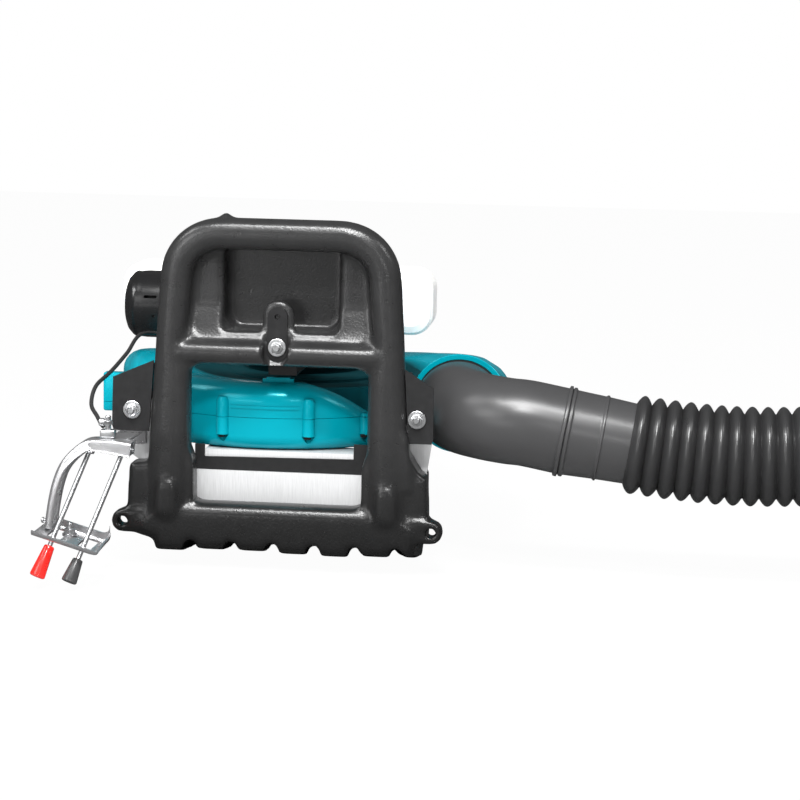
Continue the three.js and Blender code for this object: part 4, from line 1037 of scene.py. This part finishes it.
# %% Elbow and cuff
ELBOW_RADIUS, ELBOW_TAPER, CUFF_RADIUS = 48, 3, 46.5
BEAD_X, BULGE_HEIGHT = 312, 1.8


def clamped(value):
    return max(0.0, min(1.0, value))


def bead(distance, centre, half, height):
    t = abs(distance - centre) / half
    return 0.0 if t >= 1 else height * min(1.0, (1 - t) / 0.35) ** 0.6


def make_elbow():
    points = [p for p in outlet_path if p.x <= mm(HOSE_START + 1)]
    where = distances(points)
    middle = next(d for d, p in zip(where, points) if p.x > mm(BEAD_X))
    radii = []
    for d in where:
        radius = ELBOW_RADIUS - ELBOW_TAPER * clamped((d - middle) / (where[-1] - middle))
        radius += bead(d, middle - 2.6, 2.6, 3.0) + bead(d, middle + 2.8, 2.4, 2.2)
        radius += bead(d, middle + 40, 1.8, 1.6)
        radius += BULGE_HEIGHT * clamped((d - 16) / 4) * clamped(1 - (d - 30) / 60)
        radii.append(radius)
    return pipe(points, radii, 3)


def make_cuff():
    points = path_between(HOSE_END, CUFF_END)
    where = distances(points)
    return pipe(points, [CUFF_RADIUS + bead(d, 6, 6, 3.5) + bead(d, where[-1] - 4, 4, 2.6)
                         for d in where], 4)


link("outlet_elbow", make_elbow(), elbow_plastic, "outlet", ["elbow"], 50)
link("outlet_cuff", make_cuff(), hose_plastic, "outlet", ["hose_cuff"], 50)

# %% [markdown]
# ## The fan's scroll
# The teal housing is a scroll: round the fan its depth grows steadily with the angle, so the
# air keeps its speed on the way to the outlet. One section, given by a rule for each angle, is
# carried round the fan's axis, which keeps the growth exact. Over the last part of the turn
# the section changes into the ring of the outlet's duct.

# %% Scroll rule
SCROLL_START, SCROLL_TURN, SEAM, DECK, BASE, WALL = -50, 310, 159, 200, 122, 3
DUCT_MIDDLE, DUCT_HALF, DUCT_Z, DUCT_RISE, DECK_FALL = 196, 54, 163, 46, 8
INNER_RADIUS, MORPH_FROM, MORPH_OVER = 93, 235, 71


def scroll_radius(phi):
    return 140 + math.sqrt(1074 + 37 * phi)


def scroll_top(phi):
    if phi < 34:
        return 197 - 44 * (1 - phi / 34) ** 1.6
    return 197 + 11 * math.exp(-((phi - 124) / 34) ** 2) - 15 * math.exp(-((phi - 210) / 48) ** 2)


def polar(phi, r):
    a = math.radians(SCROLL_START - phi)
    return FAN_X + r * math.cos(a), FAN_Y + r * math.sin(a)


def eased(t):
    return t * t * (3 - 2 * t)


def scroll_section(phi, inset):
    """The scroll's section at an angle: a rounded box that turns into the duct's ring."""
    r0, r1 = INNER_RADIUS, scroll_radius(phi) - inset
    z0, z1 = BASE + inset, scroll_top(phi) - inset
    low = min(16, (z1 - z0) * 0.3) - inset * 0.5
    high = min(20, (z1 - z0) * 0.4) - inset * 0.5
    ring = [(r0 + (r1 - low - r0) * k / 4, z0) for k in range(5)]
    ring += [(r1 - low + low * math.sin(t), z0 + low - low * math.cos(t))
             for t in (math.radians(a) for a in (18, 36, 54, 72, 90))]
    ring += [(r1 - high + high * math.cos(t), z1 - high + high * math.sin(t))
             for t in (math.radians(a) for a in (0, 15, 30, 45, 60, 75))]
    ring += [(r1 - high + (r0 - r1 + high) * k / 4, z1 - DECK_FALL * k / 4) for k in range(5)]
    ring += [(r0, z1 - DECK_FALL + (z0 - z1 + DECK_FALL) * k / 4) for k in (1, 2, 3)]
    t = eased(min(1, max(0, (phi - MORPH_FROM) / MORPH_OVER)))
    shaped = []
    for r, z in ring:
        turn = math.atan2(z - (z0 + z1) / 2, (r - (r0 + r1) / 2) * 0.75)
        round_r = DUCT_MIDDLE + (DUCT_HALF - inset) * math.cos(turn)
        round_z = DUCT_Z + (DUCT_RISE - inset) * math.sin(turn)
        shaped.append((r + (round_r - r) * t, z + (round_z - z) * t))
    return shaped


print("scroll radius from", round(scroll_radius(0)), "to", round(scroll_radius(SCROLL_TURN)))

# %% [markdown]
# The scroll, the passage to the outlet and the raised strips on the rim are all that rule or
# a short one of their own, each turned into a closed form.

# %% Scroll forms
def scroll_form(inset, first, last, steps=150):
    turns = [first + (last - first) * (k / steps) ** 1.15 for k in range(steps + 1)]
    return skin_over([[at(*polar(phi, r), z) for r, z in scroll_section(phi, inset)]
                      for phi in turns])


def duct_form(inset, start=229, end=120.5, sides=72):
    """The passage from the scroll's end forward to the round collar."""
    rings = []
    for t in (k / 12 for k in range(13)):
        ease = eased(t)
        half, rise = DUCT_HALF + 2 * ease - inset, DUCT_RISE + 10 * ease - inset
        middle = at(FAN_X + DUCT_MIDDLE, start - inset + t * (end - start),
                    DUCT_Z + (OUTLET[2] - DUCT_Z) * ease)
        rings.append([middle + Vector((mm(half * math.cos(a)), 0, mm(rise * math.sin(a))))
                      for a in (2 * math.pi * i / sides for i in range(sides))])
    return skin_over(rings)


def rim_form(a, b, z0, z1, lift):
    """A strip that follows the rim between two angles and stands a little proud of it."""
    rings = []
    for phi in (a + (b - a) * k / 24 for k in range(25)):
        r = scroll_radius(phi) + lift
        rings.append([at(*polar(phi, r - 12), z0), at(*polar(phi, r), z0),
                      at(*polar(phi, r), z1), at(*polar(phi, r - 12), z1)])
    return skin_over(rings)


print("scroll form:", len(scroll_form(0, 0, SCROLL_TURN).polygons), "faces")

# %% [markdown]
# The housing is injection-moulded in two shells, with screw bosses round the rim, a raised
# deck under the engine and a collar for the elbow. It is made whole, hollowed, and then cut
# at its flat seam, with half a millimetre between the shells, so the halves always match.

# %% Fan shells
BOSSES, BOSS_FOOT, SEAM_GAP = [8, 29.7, 59, 112, 160, 205, 250], 139, 0.25


def hub(profile, sides=96):
    return pillar(FAN_X, FAN_Y, profile, sides)


def collar(start, profile):
    return turned(at(OUTLET[0], start, OUTLET[2]), BACK, profile, 72)


def make_housing():
    add = [hub([(BASE, 143), (186, 143), (188, 141)]),
           hub([(BASE, 105), (DECK - 9, 105), (DECK - 7, 103)]),
           hub([(DECK - 12, 66), (DECK - 1, 66), (DECK, 65)], 64), duct_form(0),
           collar(120, [(0, 56.4), (0.6, 57), (5, 57), (6, 56), (12, 55)]),
           boxed(-228, -185, 112, 128, 148, 193, 2.5),
           *[pillar(x, 424, [(196, 8), (212.7, 8)]) for x in (-100, 70)],
           rim_form(35.5, 47.5, 188, 200.6, -24), rim_form(37, 46, 188, 202, -25),
           rim_form(33, 56, 169.5, 172.5, 1.5)]
    liners, reliefs = [], []
    for phi in BOSSES:
        top = min(scroll_top(phi) - 5, 182)
        boss = polar(phi, scroll_radius(phi) - 0.6)
        add.append(pillar(*boss, [(BOSS_FOOT, 7.4), (top - 5, 7.2), (top - 1, 5.5), (top, 4)]))
        liners.append(pillar(*polar(phi, scroll_radius(phi) - 10),
                             [(131, 9), (BOSS_FOOT + 4, 9)]))
        reliefs += [pillar(*boss, [(129, 0.6), (BOSS_FOOT, 7.8)]),
                    pillar(*boss, [(BOSS_FOOT - 1, 3.6), (BOSS_FOOT + 14, 3.6)])]
    hollow = [scroll_form(WALL, 2, 308.6), hub([(BASE + WALL, 139.5), (DECK - 15, 139.5)]),
              hub([(121, 80), (127, 80)]), hub([(DECK - 20, 17), (DECK + 1, 17)], 48),
              duct_form(4.5), collar(119, [(0, 51.5), (20, 51.5)])]
    whole = cut(united(scroll_form(0, 0, SCROLL_TURN), add), hollow)
    return cut(united(whole, liners), reliefs)


housing = make_housing()
for side, z0, z1 in (("lower", SEAM - SEAM_GAP, 400), ("upper", -100, SEAM + SEAM_GAP)):
    half = cut(housing.copy(), [boxed(-400, 400, -300, 600, z0, z1)])
    link(f"fan_shell_{side}", half, teal, "chassis", [f"fan_housing_{side}"], 30)

# %% [markdown]
# ## Air cleaner cover
# The cover is a shallow black pot moulded in one piece, with a rolled rim round its outer
# face and a slot for its clip, so it is turned about its own axis and the slot is cut.

# %% Air cleaner cover
COVER_X, COVER_Y, COVER_Z = -246, 325, 251
COVER_OUTSIDE = [(0, 0), (0.4, 18), (1.6, 27), (4, 33), (7, 36.4), (9, 38.6), (11, 40.2),
                 (13.2, 41), (15, 40.4), (16.4, 40.2), (20, 41), (26, 41.5), (51.8, 41.5)]
COVER_INSIDE = [(51.8, 38.5), (26, 38.5), (14, 35), (8, 29), (4, 0)]


def make_cover():
    pot = turned(at(COVER_X, COVER_Y, COVER_Z), RIGHT, COVER_OUTSIDE + COVER_INSIDE, 96)
    slot = boxed(COVER_X + 28, COVER_X + 44, 270, 300, 262, 265.5, 1.2)
    dent = turned(at(COVER_X + 40, 282, 240), BACK, [(0, 2), (6, 2)], 20)
    return cut(pot, [slot, dent])


link("cleaner_cover", make_cover(), black_part, "chassis", ["air_cleaner_cover"], 30)

# %% [markdown]
# ## Throttle cable
# The cable is a sleeved wire that hangs in a loose bow between the engine and the post on the
# lever arm, so one smooth line is drawn through the points where it passes.

# %% Throttle cable
CABLE_LINE = [(-98, 316, 207.5), (-134, 292, 209), (-176, 246, 222), (-201.7, 200, 228.2),
              (-201.6, 120, 215.5), (-206.3, 60, 202.2), (-212.3, 10, 191.8),
              (-209.2, -25, 176.7), (-195.7, -55, 168.4), (-184, -78, 161.5), (-181.7, -86, 167)]
CABLE_RADIUS = 2.3

cable_path = smooth_path([at(*p) for p in CABLE_LINE], 110)
link("sleeved_cable", tube(cable_path, [CABLE_RADIUS] * len(cable_path), 16), rubber, "chassis",
     ["throttle_cable"], 50)
print("the cable is", round(distances(cable_path)[-1]), "mm long")

# %% [markdown]
# ## Mount bolts
# Each of the three rubber mounts ends in a threaded stud with a flat washer and a hexagon
# nut. One stack is turned and cut once, and Geometry Nodes set a copy at each mount, the way
# the same fastener is used three times on the machine.

# %% Fastener stack
MOUNTS = {"left": (-168, -4.9, 169), "right": (150.5, -4.9, 169), "centre": (-7, 1.1, 243)}


def hexagon(origin, axis, height, radius, chamfer=0.8):
    """A hexagon nut: a turned blank with chamfers, cut down to six flats."""
    blank = turned(origin, axis, [(0, radius - chamfer), (chamfer * 0.6, radius),
                                  (height - chamfer * 0.6, radius), (height, radius - chamfer)],
                   48)
    flats = turned(origin - axis * mm(1), axis,
                   [(0, radius * 1.02), (height + 2, radius * 1.02)], 6)
    return join(blank, ("INTERSECT", flats))


def fastener():
    washer = turned(BACK * mm(1.6), FRONT, [(0, 9.6), (0.4, 10), (1.2, 10), (1.6, 9.5)], 48)
    stud = turned(BACK * mm(1), FRONT, [(0, 4), (7.6, 4), (8.6, 3.2)], 28)
    return united(washer, [hexagon(BACK * mm(0.1), FRONT, 5, 6.8), stud])


def repeat_nodes(tree, given):
    item = node(tree, "GeometryNodeObjectInfo", {"Object": given["Item"]})["Geometry"]
    return node(tree, "GeometryNodeInstanceOnPoints",
                {"Points": given["Geometry"], "Instance": item, "Scale": given["Size"]})[0]


def make_fasteners():
    points = bpy.data.meshes.new("mount_places")
    points.from_pydata([at(*p) for p in MOUNTS.values()], [], [])
    item = linked("item", fastener())
    mesh = by_nodes(linked("mount_places", points), repeat_on_points, Item=item, Material=zinc)
    bpy.data.objects.remove(item)
    return mesh


repeat_on_points = geometry_tree(
    "repeat_on_points", [("Item", "Object", None), ("Size", "Float", 1.0)], repeat_nodes)
link("mount_stacks", make_fasteners(), zinc, "chassis",
     [f"{kind}_{side}" for side in MOUNTS for kind in ("washer", "mount_bolt")], 32)

# %% [markdown]
# ## Hand levers
# Two thin rods hang from one pin inside a pressed steel arm, pass through slots in a shallow
# tray and end in soft knobs. The arm is a channel bent in an arch: one section is carried
# along the arch, as the press forms it, with its rims turned outwards.

# %% Control arm
PIVOT_Y, PIVOT_Z = -88, 138
ARM_LINE = [(-148, 0, 9.6), (-165, 0, 11.5), (-180, 0, 12), (-198, -0.5, 10.5), (-213, -6, -0.5),
            (-224, -12, -15), (-231, -16, -34), (-235, -20, -56), (-238, -24, -84)]
ARM_STEPS, ARM_DEPTH, ARM_TAPER = 90, 16, 7


def channel(depth):
    """A channel's closed section: a web, two rounded bends and two rims rolled outwards."""
    half = [(8.6, 0), (10.6, -0.5), (12.2, -1.9), (12.9, -4), (12.9, -depth + 2),
            (13.9, -depth + 0.6), (13.2, -depth - 0.4)]
    back = [(11.6, -depth + 0.2), (10.6, -depth + 1.4), (10.4, -5), (9.6, -3.3), (8, -2.6)]
    return ([(-u, v) for u, v in reversed(half)] + half + back
            + [(-u, v) for u, v in reversed(back)])


def make_arm():
    line = smooth_path([at(x, PIVOT_Y + y, PIVOT_Z + z) for x, y, z in ARM_LINE], ARM_STEPS)
    rings = []
    for i, p in enumerate(line):
        along = (line[min(i + 1, ARM_STEPS)] - line[max(i - 1, 0)]).normalized()
        outward = BACK.cross(along).normalized()
        side = along.cross(outward)
        depth = ARM_DEPTH - ARM_TAPER * min(1, i / 60)
        rings.append([p + side * mm(u) + outward * mm(v) for u, v in channel(depth)])
    brackets = [boxed(x - 2, x + 2, PIVOT_Y - 10.5, PIVOT_Y + 10.5, PIVOT_Z - 6, PIVOT_Z + top,
                      1.2) for x, top in ((-204.6, 3), (-151.8, 8))]
    brackets += [boxed(-182, -158, PIVOT_Y + 8, 26.3, 142, 145, 0.6),
                 boxed(-182, -158, 23.3, 26.3, 126, 145, 0.6)]
    return united(skin_over(rings), brackets)


link("control_channel", make_arm(), pressed_steel, "chassis", ["control_arm"], 40)

# %% [markdown]
# The tray is a sheet with its edges bent up and two long slots for the rods. A line bent at
# both ends is laid out across it and along it, and the sheet is thickened afterwards, the
# way one would bend it from a flat blank.

# %% Tray sheet
TRAY_X, TRAY_Y, TRAY_SLOPE, TRAY_SHEET = (-246, -172), (-154, -88), -0.29, 2.2
ROD_TOPS, ROD_LEAN_X, ROD_LEAN_Y = {"stop": -195, "throttle": -158.5}, 0.34, 0.44


def tray_z(x):
    return 46 + TRAY_SLOPE * (x + 215)


def lip(t, low, high, bend, low_rise, high_rise):
    """Distance and rise along a flat sheet whose two edges are bent up, for t from 0 to 1."""
    turn, flat = bend * math.pi / 2, high - low - 2 * bend
    s = t * (low_rise + high_rise + 2 * turn + flat) - low_rise
    if s < 0:
        return low, bend - s
    if s < turn:
        return low + bend * (1 - math.cos(s / bend)), bend * (1 - math.sin(s / bend))
    s -= turn
    if s < flat:
        return low + bend + s, 0
    s -= flat
    if s < turn:
        return high - bend + bend * math.sin(s / bend), bend * (1 - math.cos(s / bend))
    return high, bend + s - turn


def make_tray(across=44, along=40):
    bm = bmesh.new()
    grid = []
    for i in range(along + 1):
        x, end_rise = lip(i / along, TRAY_X[0] - 9, TRAY_X[1] - 1.2, 9, 0, 1)
        if x < TRAY_X[0]:
            continue
        grid.append([])
        for j in range(across + 1):
            y, rise = lip(j / across, TRAY_Y[0] + 1.2, TRAY_Y[1] - 1.2, 3, 1.5, 7)
            z = tray_z(x) + rise + end_rise * (j / across) ** 0.5
            grid[-1].append(bm.verts.new(at(x, y, z)))
    for a, b in zip(grid, grid[1:]):
        for j in range(across):
            bm.faces.new((a[j], b[j], b[j + 1], a[j + 1]))
    sheet = modified(mesh_from(bm), ("SOLIDIFY", {"thickness": mm(TRAY_SHEET), "offset": 0.0}))
    slots = []
    for top in ROD_TOPS.values():
        x = top - ROD_LEAN_X * (PIVOT_Z - tray_z(top - 33))
        slots.append(boxed(x - 5.5, x + 9.5, TRAY_Y[0] + 5, TRAY_Y[1] - 8, 20, 90, 2.5))
    return cut(sheet, slots)


print("the tray's middle is", round(tray_z(sum(TRAY_X) / 2), 1), "mm above the datum")

# %% [markdown]
# A nut on a short stud holds the tray, and a screw with a wide head its left edge. The cable's
# post is a stack of the same kind: a foot, a block, a stud with its nut, and the sleeve that
# grips the cable. All are plated turned parts, so they are turned here as well.

# %% Nuts and cable clamp
def make_tray_unit():
    nut_at = at(-213, -108, tray_z(-213))
    forms = [turned(nut_at, UP, [(0, 8), (2.4, 8), (2.8, 7.6)], 32),
             hexagon(nut_at + UP * mm(2.2), UP, 5.5, 6.6),
             turned(nut_at, UP, [(0, 3), (13, 3), (14, 2.2)], 20),
             turned(at(-233, -112, 62), LEFT,
                    [(0, 2), (7.4, 2), (7.6, 3.4), (9.6, 3), (10.4, 1.6)], 20)]
    return united(make_tray(), forms)


def make_clamp():
    x, y, z = -176, PIVOT_Y + 2, PIVOT_Z + 12.3
    forms = [boxed(x - 8, x + 8, y - 6, y + 6, z + 0.5, z + 9, 1.2),
             turned(at(x, y, z + 6), UP, [(0, 3.2), (17, 3.2), (18, 2.4)], 24),
             hexagon(at(x, y, z + 14.5), UP, 4, 5.6, 0.6),
             turned(at(x + 1, y, 167), LEFT,
                    [(0, 3.4), (5.2, 3.4), (5.6, 4.4), (10, 4.4), (11, 3.4)], 28)]
    return united(turned(at(x, y, z), UP, [(0, 6.2), (1.6, 6.2)], 32), forms)


link("lever_tray_sheet", make_tray_unit(), pressed_steel, "chassis", ["lever_tray"], 40)
link("cable_clamp", make_clamp(), zinc, "chassis", ["cable_post"], 35)

# %% [markdown]
# Each lever is a rod with a pierced hub on the pin, and its knob is a tapered grip pushed over
# the rod's end. Rod and grip ride on the lever's own body, so they swing together.

# %% Levers and knobs
HUB_PROFILE = [(0, 5.4), (0.6, 6), (7.4, 6), (8, 5.4)]


def lever_point(top, z):
    drop = PIVOT_Z - z
    return at(top - ROD_LEAN_X * drop, PIVOT_Y - ROD_LEAN_Y * drop, z)


def make_lever(name, body, knob_top, knob_tip, material):
    top = ROD_TOPS[name]
    rod_at, rod_end = lever_point(top, PIVOT_Z - 3), lever_point(top, knob_tip + 8)
    rod = turned(rod_at, rod_end - rod_at,
                 [(0, 2.6), ((rod_end - rod_at).length * 1000, 2.6)], 20)
    eye = turned(at(top - 4, PIVOT_Y, PIVOT_Z), RIGHT, HUB_PROFILE, 32)
    bore = turned(at(top - 5, PIVOT_Y, PIVOT_Z), RIGHT, [(0, 2.8), (10, 2.8)], 24)
    link(name + "_rod", cut(united(rod, [eye]), [bore]), rod_steel, body, [name + "_lever"], 40)
    upper, lower = lever_point(top, knob_top), lever_point(top, knob_tip)
    axis, length = lower - upper, (lower - upper).length * 1000
    knob = turned(upper, axis, [(0, 4.6), (0.5, 5.3), (1.6, 5.7), (length - 2.2, 8.4),
                                (length - 0.7, 8.2), (length, 7.2)], 40)
    hole = turned(upper - axis.normalized() * mm(1), axis, [(0, 2.9), (length * 0.72, 2.9)], 20)
    link(name + "_grip", cut(knob, [hole]), material, body, [name + "_knob"], 35)


make_lever("stop", "stop_control", 38, 7, red)
make_lever("throttle", "throttle_control", 26, 3, knob_black)

# %% [markdown]
# ## Carried-over nodes
# The nodes whose CAD shape is right keep it, and take a finish of this script: black castings
# and mouldings, painted plates, rubber, the bright sheets and the plated parts.

# %% Finishes for the CAD nodes
FINISHES = [
    (black_part, ["crankcase", "cylinder", "muffler", "inlet_guard", "impeller",
                  "starter_housing", "air_cleaner_base", "fuel_cap",
                  *[f"housing_screw_{k}" for k in range(1, 6)]]),
    # the centre strut takes the black plate finish as painted shade, so it is lost in the shadow
    # under the grip
    (black_sheet, ["mount_plate_left", "mount_plate_right", "centre_tongue", "fan_bracket",
                   "centre_strut"]),
    (rubber, ["outlet_seal", *[f"damper_{side}" for side in MOUNTS], "plug_boot",
              "intake_insulator", "air_filter", "starter_handle", "starter_rope"]),
    (sheet_steel, ["cradle", "fan_shelf"]),
    (zinc, ["pivot_pin", "crankshaft", "lower_bearing", "upper_bearing", "spark_plug"]),
    (cast_alloy, ["flywheel", "carburettor"]),
    (tank_plastic, ["fuel_tank"])]

for material, names in FINISHES:
    for name in names:
        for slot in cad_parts[name].material_slots:
            slot.material = material
print("dressed nodes:", sum(len(names) for _, names in FINISHES))
